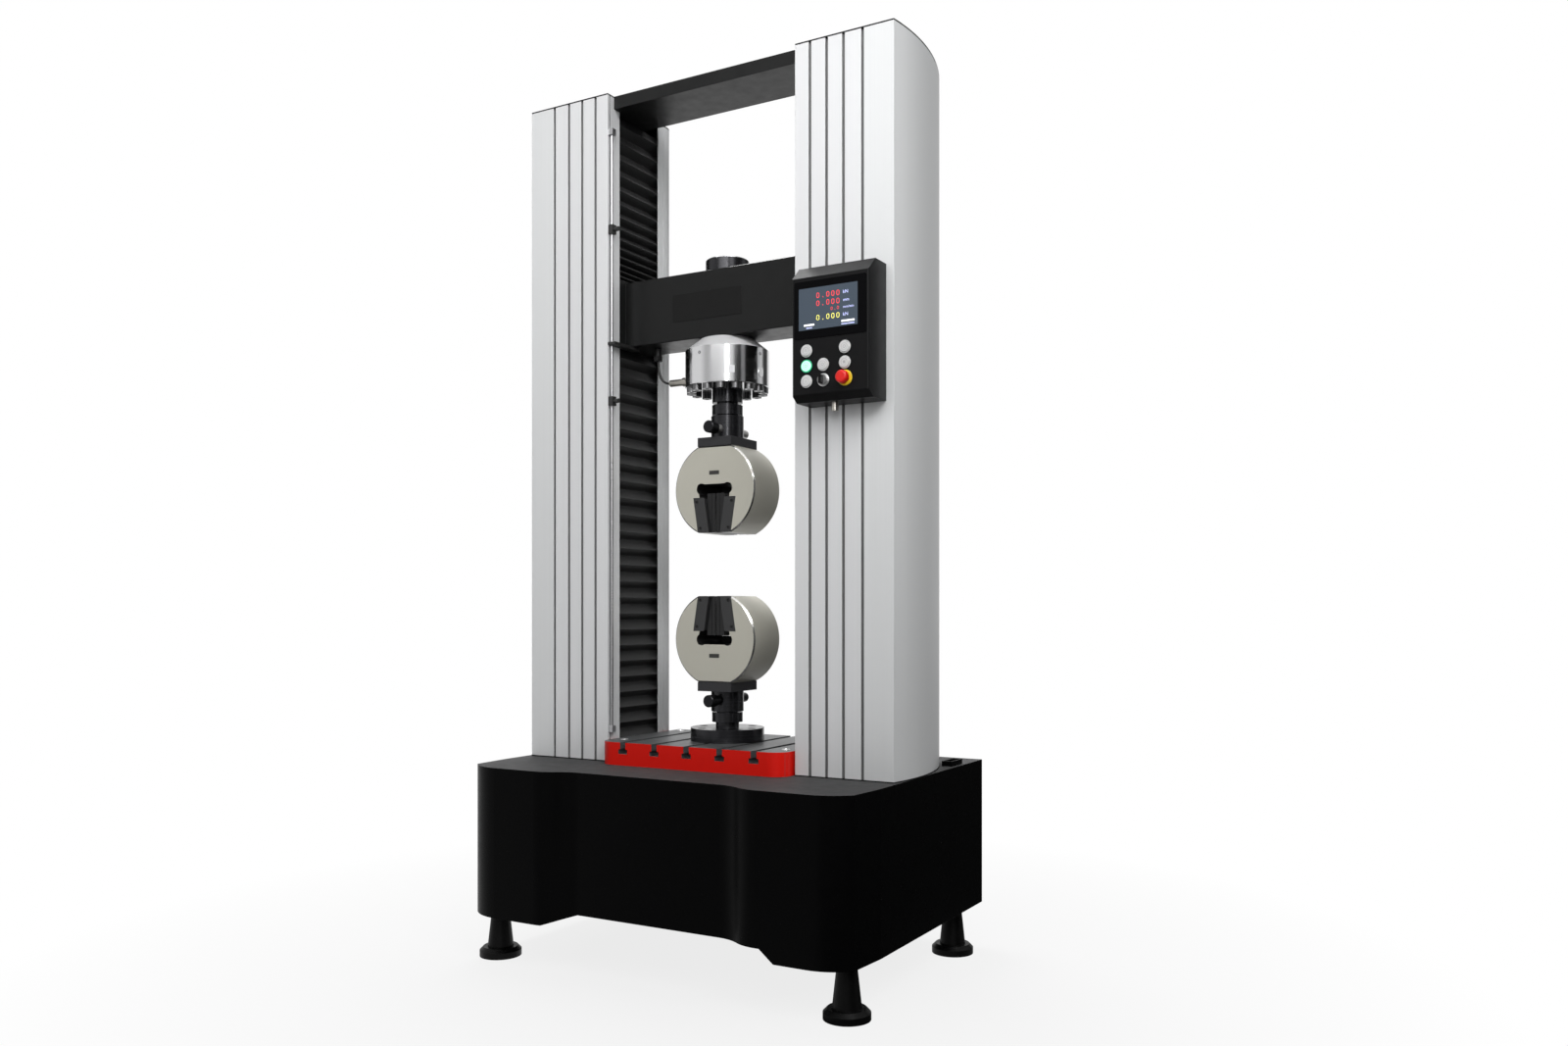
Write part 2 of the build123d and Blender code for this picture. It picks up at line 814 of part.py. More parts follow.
def guide_bushes():
    low = crosshead_bottom + bush_inset
    high = crosshead_top - bush_inset
    bore = guide_radius + run_fit
    return group(ring(bush_outer_radius, bore, low, high, side * guide_x) for side in (-1, 1))


def guide_rods():
    return group(post(guide_radius, bed_top, crown_bottom, side * guide_x) for side in (-1, 1))


def screw_bearings():
    low = bed_top - lower_bearing_height
    rings = []
    for side in (-1, 1):
        x = side * screw_x
        rings.append(ring(lower_bearing_radius, screw_lower_journal + run_fit, low, bed_top, x))
        rings.append(ring(upper_bearing_radius, screw_upper_journal + run_fit, crown_bottom,
                          crown_bottom + upper_bearing_height, x))
    return group(rings)


def belt_loop(margin):
    """Tight loop round the three pulleys, at a distance from their rims."""
    rims = [Pos(side * screw_x, 0) * Circle(pulley_radius + margin) for side in (-1, 1)]
    rims.append(Pos(0, motor_y) * Circle(motor_pulley_radius + margin))
    return make_hull(edges=[rim.edge() for rim in rims])


def drive_belt():
    band = belt_loop(slide_gap + belt_thickness) - belt_loop(slide_gap)
    middle = (pulley_top + pulley_bottom) / 2
    return upright(band, middle - belt_width / 2, middle + belt_width / 2)


def servo_motor():
    top = pulley_bottom - motor_gap
    case = Pos(0, motor_y) * RectangleRounded(motor_width, motor_width, motor_corner)
    bore_floor = top - motor_shaft_depth - part_gap
    return upright(case, shelf_top, top) - post(motor_shaft_radius + run_fit, bore_floor, top + overcut,
                                                0, motor_y)


def motor_pulley():
    low = pulley_bottom - motor_gap - motor_shaft_depth
    return post(motor_shaft_radius, low, pulley_bottom, 0, motor_y) + post(
        motor_pulley_radius, pulley_bottom, pulley_top, 0, motor_y)


# Limit rod and stops
def limit_rod():
    low = table_top + rod_bottom_gap
    high = column_top - rod_top_drop
    rod = post(rod_radius, low, high, rod_x, rod_y)
    half = rod_block_width / 2
    for z in (low, high - rod_block_height):
        rod += block(-half_clear, rod_x + half, rod_y - half, rod_y + half, z, z + rod_block_height)
    return rod


def limit_stop(bottom):
    half = stop_width / 2
    top = bottom + stop_height
    clamp = block(-half_clear + part_gap, rod_x + half, rod_y - half, rod_y + half, bottom, top)
    clamp -= post(rod_radius + run_fit, bottom - overcut, top + overcut, rod_x, rod_y)
    centre = Pos(rod_x + half + thumb_length / 2, rod_y, (bottom + top) / 2)
    return clamp + centre * Rot(0, 90, 0) * Cylinder(thumb_radius, thumb_length)


# Bellows
def bellows(z0, z1, folds):
    front = half_clear + cover_sheet + bellows_gap
    back = front + bellows_fold_depth
    step = (z1 - z0) / (2 * folds)
    valley = back - bellows_sheet
    near = [(front if index % 2 else valley, z0 + index * step) for index in range(2 * folds + 1)]
    far = [(x + bellows_sheet, z) for x, z in reversed(near)]
    pleats = make_face(Polyline(*near, *far, close=True))
    right = front_prism(pleats, slot_front_y + bellows_gap, inner_back_y - bellows_back_gap)
    return group([mirrored(right), right])


# Control box on the right column
def button_place(column, row):
    x = box_left_x + button_columns[column]
    return x, box_bottom_z + button_top - row * button_pitch_z


button_columns = {"left": button_left, "middle": button_middle, "right": button_right}
push_places = {"jog_up_button": ("left", 0), "start_button": ("left", 1), "jog_down_button": ("left", 2),
               "return_button": ("middle", 1), "zero_button": ("right", 0), "stop_button": ("right", 1)}
selector_place = ("middle", 2)
emergency_place = ("right", 2)


def box_section(inset):
    """Side outline of the control box, moved inwards by the inset."""
    top = box_bottom_z + box_height - inset
    low = box_bottom_z + inset
    front = box_front_y + inset
    back = column_front_y - inset
    return make_face(Polyline(
        (back, low), (box_front_y + box_chin_depth, low), (front, box_bottom_z + box_chin_height),
        (front, box_bottom_z + box_height - box_brow_height), (box_front_y + box_brow_depth, top),
        (back, top), close=True))


def box_prism(inset):
    face = Plane.YZ * box_section(inset)
    return Pos(box_left_x + inset, 0, 0) * extrude(face, box_width - 2 * inset)


def screen_block(gap, y0, y1):
    x0 = box_left_x + screen_left
    z0 = box_bottom_z + screen_low
    return block(x0 - gap, x0 + screen_width + gap, y0, y1, z0 - gap, z0 + screen_height + gap)


def control_box():
    shell = box_prism(0.0)
    shell = fillet(shell.edges().filter_by(Axis.Z).group_by(Axis.Y)[0], box_corner_round)
    shell -= box_prism(box_wall)
    for column, row in push_places.values():
        x, z = button_place(column, row)
        shell += bar(button_ring_radius, box_front_y - button_ring_height, box_front_y, x, z)
        shell -= bar(button_radius + run_fit, box_front_y - button_ring_height - overcut,
                     box_front_y + box_wall + overcut, x, z)
    x, z = button_place(*selector_place)
    shell -= bar(button_stem_radius + run_fit, box_front_y - overcut, box_front_y + box_wall + overcut, x, z)
    x, z = button_place(*emergency_place)
    shell -= bar(stop_neck_radius + run_fit, box_front_y - overcut, box_front_y + box_wall + overcut, x, z)
    return shell - screen_block(seat_fit, box_front_y - overcut, box_front_y + box_wall + overcut)


def display_screen():
    front = box_front_y - screen_proud
    panel = screen_block(0.0, front, front + screen_thickness)
    return fillet(panel.edges().filter_by(Axis.Y), screen_round)


def push_button(column, row):
    x, z = button_place(column, row)
    front = box_front_y - button_ring_height - button_proud
    cap = bar(button_radius, front, box_front_y, x, z)
    cap = fillet(cap.edges().sort_by(Axis.Y)[0], button_cap_round)
    return cap + bar(button_stem_radius, box_front_y, box_front_y + button_stem_length, x, z)


def selector_knob():
    x, z = button_place(*selector_place)
    front = box_front_y - part_gap - selector_height
    knob = bar(selector_radius, front, box_front_y - part_gap, x, z)
    knob += bar(button_stem_radius, box_front_y - part_gap, box_front_y + button_stem_length, x, z)
    half = selector_bar_width / 2
    grip = block(x - half, x + half, front - selector_bar_height, front, z - selector_radius + half / 2,
                 z + selector_radius - half / 2)
    grip = fillet(grip.edges().filter_by(Axis.Y), half / 2)
    return knob + grip


def emergency_stop():
    x, z = button_place(*emergency_place)
    back = box_front_y - stop_standoff
    head = bar(stop_head_radius, back - stop_head_height, back, x, z)
    head = fillet(head.edges().sort_by(Axis.Y)[0], stop_head_round)
    return head + bar(stop_neck_radius, back, box_front_y + stop_neck_length, x, z)


def panel_connector():
    return post(panel_plug_radius, box_bottom_z - panel_plug_length, box_bottom_z, box_left_x + panel_plug_x,
                panel_plug_y)


# All nodes by name
right_profile = column_profile()
right_cover = column_cover()
nodes = {
    "base_cabinet": base_cabinet(),
    "base_frame": base_frame(),
    "machine_feet": machine_feet(),
    "work_table": work_table(),
    "left_column_profile": mirrored(right_profile),
    "right_column_profile": right_profile,
    "left_column_cover": mirrored(right_cover),
    "right_column_cover": right_cover,
    "crown_beam": crown_beam(),
    "guide_rods": guide_rods(),
    "screw_bearings": screw_bearings(),
    "servo_motor": servo_motor(),
    "motor_pulley": motor_pulley(),
    "drive_belt": drive_belt(),
    "left_ball_screw": ball_screw(-1),
    "right_ball_screw": ball_screw(1),
    "limit_rod": limit_rod(),
    "upper_limit_stop": limit_stop(crosshead_bottom + upper_stop_reach),
    "lower_limit_stop": limit_stop(crosshead_bottom - striker_thickness - lower_stop_reach - stop_height),
    "upper_bellows": bellows(crosshead_top + slide_gap, crown_bottom - slide_gap, upper_fold_count),
    "lower_bellows": bellows(base_top + slide_gap, crosshead_bottom - slide_gap, lower_fold_count),
    "control_box": control_box(),
    "display_screen": display_screen(),
    "panel_connector": panel_connector(),
    "selector_knob": selector_knob(),
    "emergency_stop": emergency_stop(),
    "lower_flange": lower_flange(),
    "lower_lock_nut": lock_nut(lower_nut_bottom, lower_nut_height),
    "lower_socket": socket(lower_socket_bottom, lower_socket_top, lower_socket_top - pin_offset),
    "lower_coupling_pin": coupling_pin(lower_socket_top - pin_offset),
    "crosshead_beam": crosshead_beam(),
    "crosshead_boss": crosshead_boss(),
    "limit_striker": limit_striker(),
    "ball_nuts": ball_nuts(),
    "guide_bushes": guide_bushes(),
    "load_cell": load_cell(),
    "load_cell_bolts": load_cell_bolts(),
    "load_cell_connector": load_cell_connector(),
    "load_cell_cable": load_cell_cable(),
    "cable_gland": cable_gland(),
    "upper_adapter": upper_adapter(),
    "upper_lock_nut": lock_nut(upper_nut_bottom, upper_nut_height),
    "upper_socket": socket(upper_socket_bottom, upper_socket_top, upper_socket_bottom + pin_offset),
    "upper_coupling_pin": coupling_pin(upper_socket_bottom + pin_offset),
}
for name, place in push_places.items():
    nodes[name] = push_button(*place)
for level, put in (("upper", upper_grip), ("lower", lower_grip)):
    nodes[level + "_grip_body"] = put(grip_body())
    nodes[level + "_grip_plate"] = put(grip_plate())
    nodes[level + "_jaw_retainers"] = group(put(plate) for plate in jaw_retainers())
    nodes[level + "_left_jaw"] = put(mirrored(jaw()))
    nodes[level + "_right_jaw"] = put(jaw())

os.makedirs("parts", exist_ok=True)
for name, shape in nodes.items():
    export_step(shape, f"parts/{name}.step")
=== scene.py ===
import json
from math import cos, dist, pi, radians, sin, tan

import bmesh
import bpy
from bpy.props import FloatProperty, FloatVectorProperty, IntProperty, PointerProperty
from mathutils import Matrix, Vector
from mathutils.geometry import convex_hull_2d


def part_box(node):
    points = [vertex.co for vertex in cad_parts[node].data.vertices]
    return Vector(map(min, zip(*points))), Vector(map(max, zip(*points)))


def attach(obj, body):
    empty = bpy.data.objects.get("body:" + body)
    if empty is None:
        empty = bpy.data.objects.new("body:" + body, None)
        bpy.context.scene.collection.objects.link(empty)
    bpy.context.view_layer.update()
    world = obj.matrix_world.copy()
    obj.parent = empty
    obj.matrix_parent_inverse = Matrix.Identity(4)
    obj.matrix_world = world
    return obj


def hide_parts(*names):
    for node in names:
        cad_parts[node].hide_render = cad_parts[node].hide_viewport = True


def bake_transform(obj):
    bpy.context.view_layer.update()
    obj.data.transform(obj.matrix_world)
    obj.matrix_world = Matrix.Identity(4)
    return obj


bl_info = {
    "name": "Testing machine dressing",
    "version": (1, 0, 0),
    "blender": (4, 5, 0),
    "location": "3D View > Sidebar > Testing Machine",
    "description": "Finishes, bellows, display, controls and fasteners of a two-column testing machine",
    "category": "Object",
}

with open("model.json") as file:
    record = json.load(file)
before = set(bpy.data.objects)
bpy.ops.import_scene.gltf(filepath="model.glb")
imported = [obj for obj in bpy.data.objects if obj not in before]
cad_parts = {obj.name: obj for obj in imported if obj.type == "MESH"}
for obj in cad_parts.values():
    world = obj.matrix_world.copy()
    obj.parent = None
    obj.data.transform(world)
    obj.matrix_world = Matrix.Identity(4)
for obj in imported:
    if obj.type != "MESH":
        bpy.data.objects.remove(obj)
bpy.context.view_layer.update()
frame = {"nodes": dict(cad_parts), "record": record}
slot_of = {part["node"]: part["material_slot"] for part in frame["record"]["subparts"]}


# Settings
def colour(name, text, value):
    return FloatVectorProperty(name=name, description=text, subtype="COLOR", size=3, min=0.0, max=1.0,
                               default=value)


def length(name, text, value):
    return FloatProperty(name=name, description=text, subtype="DISTANCE", unit="LENGTH", min=0.0,
                         default=value)


def share(name, text, value):
    return FloatProperty(name=name, description=text, subtype="FACTOR", min=0.0, max=1.0, default=value)


def power(name, text, value):
    return FloatProperty(name=name, description=text, unit="POWER", min=0.0, default=value)


class MachineFinishes(bpy.types.PropertyGroup):
    """Colours of the machine's surfaces."""
    cabinet: colour("Cabinet", "Black powder coat of the base", (0.0020, 0.0020, 0.0021))
    # Painted light: the base's top gets a paler tone, as if lit from above.
    cabinet_top_painted_light: colour("Cabinet top", "Matt top of the base", (0.060, 0.060, 0.061))
    beam: colour("Beams", "Satin black paint of the crosshead and crown", (0.0056, 0.0058, 0.0058))
    column: colour("Columns", "Silver anodised front extrusion", (0.74, 0.745, 0.755))
    cover: colour("Covers", "Silver sheet on the column sides", (0.72, 0.73, 0.735))
    table: colour("Table paint", "Red paint on the table's edges", (0.70, 0.0095, 0.0045))
    table_top: colour("Table top", "Dark ground steel of the table's top", (0.070, 0.072, 0.074))
    grip: colour("Grips", "Warm grey nickel of the grip bodies", (0.51, 0.496, 0.43))
    oxide: colour("Black oxide", "Turned and blackened steel of the couplings", (0.028, 0.028, 0.031))
    cell: colour("Load cell", "Bright turned stainless steel", (0.66, 0.66, 0.67))
    fabric: colour("Bellows", "Black coated fabric", (0.011, 0.0113, 0.0113))
    panel: colour("Control box", "Matt black paint of the control box", (0.0080, 0.0080, 0.0085))
    button: colour("Buttons", "White keys", (0.64, 0.64, 0.64))
    lit_button: colour("Lit button", "Green light in the start key", (0.45, 0.90, 0.66))
    emergency: colour("Emergency stop", "Red mushroom head", (0.70, 0.012, 0.008))
    collar: colour("Emergency collar", "Yellow ring under the mushroom head", (0.80, 0.56, 0.02))


class MachineBellows(bpy.types.PropertyGroup):
    """Shape of the pleated covers in the column slots."""
    upper_pleats: IntProperty(name="Upper pleats", description="Folds above the crosshead", min=4, default=15)
    lower_pleats: IntProperty(name="Lower pleats", description="Folds below the crosshead", min=8, default=25)
    sheet: length("Sheet", "Thickness of the coated fabric", 0.0012)
    ridge: length("Ridge", "Half height of a rounded fold", 0.0022)
    sag: length("Sag", "Drop of a fold in the middle of its width", 0.0006)


class MachineDisplay(bpy.types.PropertyGroup):
    """The lit picture of the display."""
    background: colour("Background", "Blue grey of the lit panel", (0.036, 0.048, 0.064))
    force: colour("Force digits", "Red of the first rows", (0.85, 0.05, 0.06))
    peak: colour("Peak digits", "Yellow of the last row", (0.90, 0.85, 0.16))
    unit: colour("Units", "Pale blue of the unit marks", (0.52, 0.56, 0.95))
    bar: colour("Bars", "White status bars", (0.90, 0.90, 0.92))
    digit_height: share("Digit height", "Height of the main digits as a share of the picture", 0.125)


class MachineFasteners(bpy.types.PropertyGroup):
    """Screws and bolts added to the frame."""
    retainer_screw: length("Retainer screw", "Head radius of the jaw retainer screws", 0.0049)
    flange_bolt: length("Flange bolt", "Head radius of the flange bolts", 0.0110)
    table_bolt: length("Table bolt", "Head radius of the table bolts", 0.0120)
    cell_plug: length("Cell plug", "Radius of the plugs in the load cell's side", 0.0042)


class MachineCable(bpy.types.PropertyGroup):
    """The short cable of the load cell."""
    cable_length: length("Length", "Length from the connector to the gland", 0.0968)
    cable_diameter: length("Diameter", "Diameter over the sheath", 0.007)


class MachineStage(bpy.types.PropertyGroup):
    """Camera, floor and lamps."""
    camera_place: FloatVectorProperty(name="Camera", description="Place of the camera", subtype="TRANSLATION",
                                      unit="LENGTH", size=3, default=(1.878, -2.945, 0.973))
    camera_turn: FloatProperty(name="Turn", description="Turn of the camera about the upright axis",
                               subtype="ANGLE", unit="ROTATION", default=radians(29.9))
    lens: FloatProperty(name="Lens", description="Focal length in millimetres", min=1.0, default=28.30)
    rise: FloatProperty(name="Rise", description="Upward shift of the lens", default=0.055)
    floor: colour("Floor", "Pale floor", (0.42, 0.42, 0.42))
    key: power("Key lamp", "Power of the high front lamp", 34.0)
    side: power("Side lamp", "Power of the lamp at the right", 24.0)
    strip: power("Strip lamp", "Power of the narrow lamp beside the camera", 23.0)
    top: power("Top lamp", "Power of the lamp overhead", 180.0)
    ambient: share("Ambient", "Level of the light from all round", 0.12)


# Shader building
def feed(socket, source):
    """Join an output to a socket, or set the socket to a value or a colour."""
    if isinstance(source, bpy.types.NodeSocket):
        socket.id_data.links.new(source, socket)
    else:
        socket.default_value = (*source, 1.0) if socket.type == "RGBA" else source


def dress(made, **sources):
    """Feed a node's sockets by name, with underscores for spaces."""
    for name, source in sources.items():
        feed(made.inputs[name.replace("_", " ")], source)
    return made


def node(tree, kind, **sources):
    """A new shader node of a kind, its sockets fed."""
    return dress(tree.nodes.new("ShaderNode" + kind), **sources)


def grain(tree, scale, stretch=(1.0, 1.0, 1.0), detail=4.0):
    """Noise fixed to the object, stretched along an axis with a small factor."""
    place = node(tree, "TexCoord")
    mapping = node(tree, "Mapping", Vector=place.outputs["Object"], Scale=stretch)
    return node(tree, "TexNoise", Vector=mapping.outputs["Vector"], Scale=scale, Detail=detail,
                Roughness=0.55).outputs["Fac"]


def spread(value, low, high, start_at=0.3, end_at=0.7):
    """A value taken to a range, by default from that of a noise."""
    return node(value.id_data, "MapRange", Value=value, From_Min=start_at, From_Max=end_at, To_Min=low,
                To_Max=high).outputs["Result"]


def rising(value, low, high):
    return spread(value, 0.0, 1.0, low, high)


def falling(value, low, high):
    return spread(value, 1.0, 0.0, low, high)


def mixed(value, first, second):
    """Mix of two colours or colour outputs by a value."""
    mix = node(value.id_data, "Mix")
    mix.data_type = "RGBA"
    for index, source in ((0, value), (6, first), (7, second)):
        feed(mix.inputs[index], source)
    return mix.outputs[2]


def scaled(tone, factor):
    return tuple(min(1.0, channel * factor) for channel in tone)


def mottle(value, tone, low, high):
    """Two shades of a tone mixed by a value."""
    return mixed(value, scaled(tone, low), scaled(tone, high))


def worked(lines, cloud, tone, low, high, cover, stain):
    """Shades of a tone along tool lines, partly covered by a stain where a cloud lies."""
    return mixed(spread(cloud, 0.0, cover), mottle(lines, tone, low, high), scaled(tone, stain))


def sums(operation, first, *others):
    """One step of arithmetic on a shader value."""
    made = node(first.id_data, "Math")
    made.operation = operation
    for socket, source in zip(made.inputs, (first, *others)):
        feed(socket, source)
    return made.outputs[0]


def product(first, *others):
    for other in others:
        first = sums("MULTIPLY", first, other)
    return first


def component(tree, axis, output="Object"):
    """X, Y or Z of the place or the normal in the object's own axes."""
    place = node(tree, "TexCoord")
    return node(tree, "SeparateXYZ", Vector=place.outputs[output]).outputs[axis]


def unsigned(tree, axis, output="Object"):
    return sums("ABSOLUTE", component(tree, axis, output))


def facing(tree, axis, limit=0.7):
    """One on faces that look either way along an axis, nought elsewhere."""
    return rising(unsigned(tree, axis, "Normal"), limit - 0.05, limit + 0.05)


def along(tree, axis, low, high):
    """Rises from nought to one between two places on an axis."""
    return rising(component(tree, axis), low, high)


def surface(height, depth, edge=0.0, **sources):
    """Feed the shader, with a bump of a real depth over edges softened by a small radius."""
    tree = height.id_data
    bump = node(tree, "Bump", Strength=1.0, Distance=depth, Height=height)
    if edge:
        bevel = node(tree, "Bevel", Radius=edge)
        bevel.samples = 4
        dress(bump, Normal=bevel.outputs["Normal"])
    dress(tree.nodes["Principled BSDF"], Normal=bump.outputs["Normal"], **sources)


def source_of(tree, socket):
    """The output that feeds one of the shader's sockets."""
    return tree.nodes["Principled BSDF"].inputs[socket].links[0].from_socket


# Finishes
WHITE = (1.0, 1.0, 1.0)
SOFT_BLACK = (0.012, 0.012, 0.012)
BLACK_STEEL = (0.02, 0.02, 0.022)
POLISHED_RIM = (0.85, 0.84, 0.81)
GROUND_LINES = (700.0, (1.0, 1.0, 0.05), 2.0)
SOFT_EDGE = 0.0008  # radius of a worked metal edge
TOOTH_PITCH = 0.002  # of the jaws' crossed teeth
FINE_PEEL = 0.00001  # depth of a smooth texture


def coated(tree, tone, rough, specular, peel=0.00004, edge=0.0012, top=None):
    """Baked paint: faint orange peel, a slow change of gloss and, if a tone is given, a matt top with painted
    light from above.
    """
    cloud = grain(tree, 6.0)
    paint = mottle(cloud, tone, 0.85, 1.15)
    gloss = spread(grain(tree, 30.0), rough - 0.05, rough + 0.05)
    # Painted light: faces that look up get the paler top tone, as if lit from above.
    if top:
        painted_top_light = rising(component(tree, "Z", "Normal"), 0.75, 0.9)
        paint = mixed(painted_top_light, paint, mottle(cloud, top, 0.9, 1.1))
        gloss = sums("ADD", gloss, product(painted_top_light, 0.25))
    surface(grain(tree, 420.0, detail=2.0), peel, edge, Base_Color=paint, Roughness=gloss,
            Specular_IOR_Level=specular)


def drawn_aluminium(tree, tone, rough, metallic):
    """Anodised extrusion or sheet with fine lines along its length."""
    lines = grain(tree, 260.0, (1.0, 1.0, 0.004), 3.0)
    cloud = grain(tree, 2.2, (1.0, 1.0, 0.35))
    surface(lines, 0.000012, SOFT_EDGE, Metallic=metallic,
            Base_Color=worked(lines, cloud, tone, 0.955, 1.03, 0.35, 0.93),
            Roughness=spread(lines, rough - 0.04, rough + 0.06))


def grooved_aluminium(tree, tone, rough, metallic):
    """Anodised extrusion with painted shade that makes its grooves and seam darker than its face."""
    drawn_aluminium(tree, tone, rough, metallic)
    low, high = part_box("right_column_profile")
    across = unsigned(tree, "X")
    # Painted shade: the grooves' sides and floors and the seam are mixed to near black below.
    groove_wall_shade = product(rising(across, low.x + 0.010, low.x + 0.011),
                   falling(across, high.x - 0.002, high.x - 0.001), facing(tree, "X", 0.9), 0.55)
    groove_floor_shade = product(along(tree, "Y", low.y + 0.0015, low.y + 0.0025), facing(tree, "Y", 0.9), 0.8)
    shade = sums("MAXIMUM", groove_wall_shade, groove_floor_shade)
    dress(tree.nodes["Principled BSDF"],
          Base_Color=mixed(shade, source_of(tree, "Base Color"), scaled(tone, 0.04)))


def turned_steel(tree, tone, rough, metallic=1.0, contrast=0.08, depth=0.000004):
    """Lathe-turned steel with rings round an upright axis."""
    rings = grain(tree, 1400.0, (0.003, 0.003, 1.0), 2.0)
    ringed = worked(rings, grain(tree, 18.0), tone, 1.0 - contrast, 1.0 + contrast, 2 * contrast, 0.82)
    surface(rings, depth, SOFT_EDGE, Base_Color=ringed, Metallic=metallic,
            Roughness=spread(rings, rough - contrast / 2, rough + contrast))


def bright_cell(tree, tone):
    """Bright turned steel with a bead-blasted shoulder."""
    turned_steel(tree, tone, 0.15, contrast=0.02, depth=0.0000008)
    shoulder = rising(component(tree, "Z", "Normal"), 0.2, 0.3)
    dress(tree.nodes["Principled BSDF"], Metallic=spread(shoulder, 1.0, 0.25, 0.0, 1.0),
          Roughness=sums("ADD", source_of(tree, "Roughness"), product(shoulder, 0.3)))


def plated(tree, tone, rough, metallic):
    """Blackened plate over a fine ground surface."""
    lines = grain(tree, *GROUND_LINES)
    cloud = grain(tree, 9.0)
    surface(lines, 0.000006, SOFT_EDGE, Metallic=metallic,
            Base_Color=worked(lines, cloud, tone, 0.96, 1.03, 0.3, 0.9),
            Roughness=spread(cloud, rough - 0.03, rough + 0.05))


def nickel_grip(tree, tone, node_name):
    """Matt nickel plate with polished edges round the two flat faces and painted shade, near black, inside
    the jaw pocket.
    """
    lines = grain(tree, *GROUND_LINES)
    matt = worked(lines, grain(tree, 9.0), tone, 0.97, 1.02, 0.3, 0.92)
    lean = unsigned(tree, "Y", "Normal")
    edge = product(rising(lean, 0.3, 0.4), falling(lean, 0.9, 0.95))
    low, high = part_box(node_name)
    axis_z = max(points_of(node_name), key=lambda point: point.x).z
    mouth = min(high.z - axis_z, axis_z - low.z)
    across = component(tree, "X")
    rise = sums("SUBTRACT", component(tree, "Z"), axis_z)
    reach = sums("SQRT", sums("ADD", product(rise, rise), product(across, across)))
    # Painted shade: the inside of the jaw pocket is mixed to near black.
    pocket = product(falling(reach, high.x - 0.014, high.x - 0.012),
                     falling(unsigned(tree, "Y"), high.y - 0.002, high.y - 0.001),
                     falling(sums("ABSOLUTE", rise), mouth - 0.002, mouth - 0.001))
    plate = mixed(edge, matt, POLISHED_RIM)
    surface(lines, 0.000005, SOFT_EDGE, Base_Color=mixed(pocket, plate, SOFT_BLACK),
            Roughness=spread(edge, 0.42, 0.18, 0.0, 1.0), Metallic=spread(edge, 0.16, 1.0, 0.0, 1.0))


def toothed_jaw(tree, tone):
    """Hardened jaw with crossed teeth on its gripping face."""
    worn = grain(tree, 60.0)
    rows = []
    for operation in ("ADD", "SUBTRACT"):
        slant = sums(operation, component(tree, "Z"), component(tree, "Y"))
        rows.append(sums("SINE", product(slant, 2 * pi / TOOTH_PITCH)))
    teeth = product(sums("ADD", *rows), facing(tree, "X", 0.9))
    surface(teeth, 0.0003, Base_Color=mottle(worn, tone, 0.8, 1.25), Metallic=0.3,
            Roughness=spread(worn, 0.30, 0.42))


def moulded(tree, tone, rough, specular=0.5, depth=0.00003, glow=0.0):
    """Moulded plastic or rubber with a fine sparked texture."""
    cloud = grain(tree, 40.0)
    light = {"Emission_Color": tone, "Emission_Strength": glow} if glow else {}
    surface(grain(tree, 1500.0, detail=2.0), depth, 0.0006, Specular_IOR_Level=specular,
            Base_Color=mottle(cloud, tone, 0.9, 1.1),
            Roughness=spread(cloud, rough - 0.05, rough + 0.05), **light)


def painted_table(tree, paint, top):
    """Red paint round the edge, dark ground steel on top and in the slots."""
    lines = grain(tree, 500.0, (1.0, 0.01, 1.0), 3.0)
    ground = mottle(lines, top, 0.75, 1.35)
    enamel = mottle(grain(tree, 8.0), paint, 0.95, 1.04)
    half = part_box("work_table")[1].x
    inside = falling(unsigned(tree, "X"), half - 0.006, half - 0.004)
    bare = sums("MAXIMUM", facing(tree, "Z"), product(facing(tree, "X", 0.9), inside))
    surface(lines, 0.000006, 0.0007, Base_Color=mixed(bare, enamel, ground),
            Roughness=spread(lines, 0.34, 0.44), Specular_IOR_Level=0.2)


def coated_fabric(tree, tone):
    """Coated cloth with a fine weave and soft creases."""
    weave = grain(tree, 1400.0, (1.0, 1.0, 0.5), 1.0)
    crease = grain(tree, 28.0, (1.0, 0.25, 1.0))
    surface(weave, 0.00006, Base_Color=mottle(crease, tone, 0.7, 1.5),
            Roughness=spread(crease, 0.42, 0.58), Specular_IOR_Level=0.45)


def two_tone(tree, knob, shaft, change):
    """One metal in front of a depth and another behind it, as on a pin with a blackened knob."""
    worn = grain(tree, 120.0, (1.0, 0.1, 1.0), 3.0)
    behind = along(tree, "Y", change, change + 0.0005)
    surface(worn, 0.00001, SOFT_EDGE, Metallic=0.9, Roughness=spread(worn, 0.26, 0.4),
            Base_Color=mixed(behind, knob, mottle(worn, shaft, 0.85, 1.1)))


def lit(tree, tone, strength):
    """Lit picture of the display, with a fine dot raster."""
    dots = grain(tree, 2600.0, detail=1.0)
    shade = mottle(dots, tone, 0.92, 1.08)
    surface(dots, 0.000004, Base_Color=shade, Roughness=0.25, Specular_IOR_Level=0.3,
            Emission_Color=shade, Emission_Strength=strength)


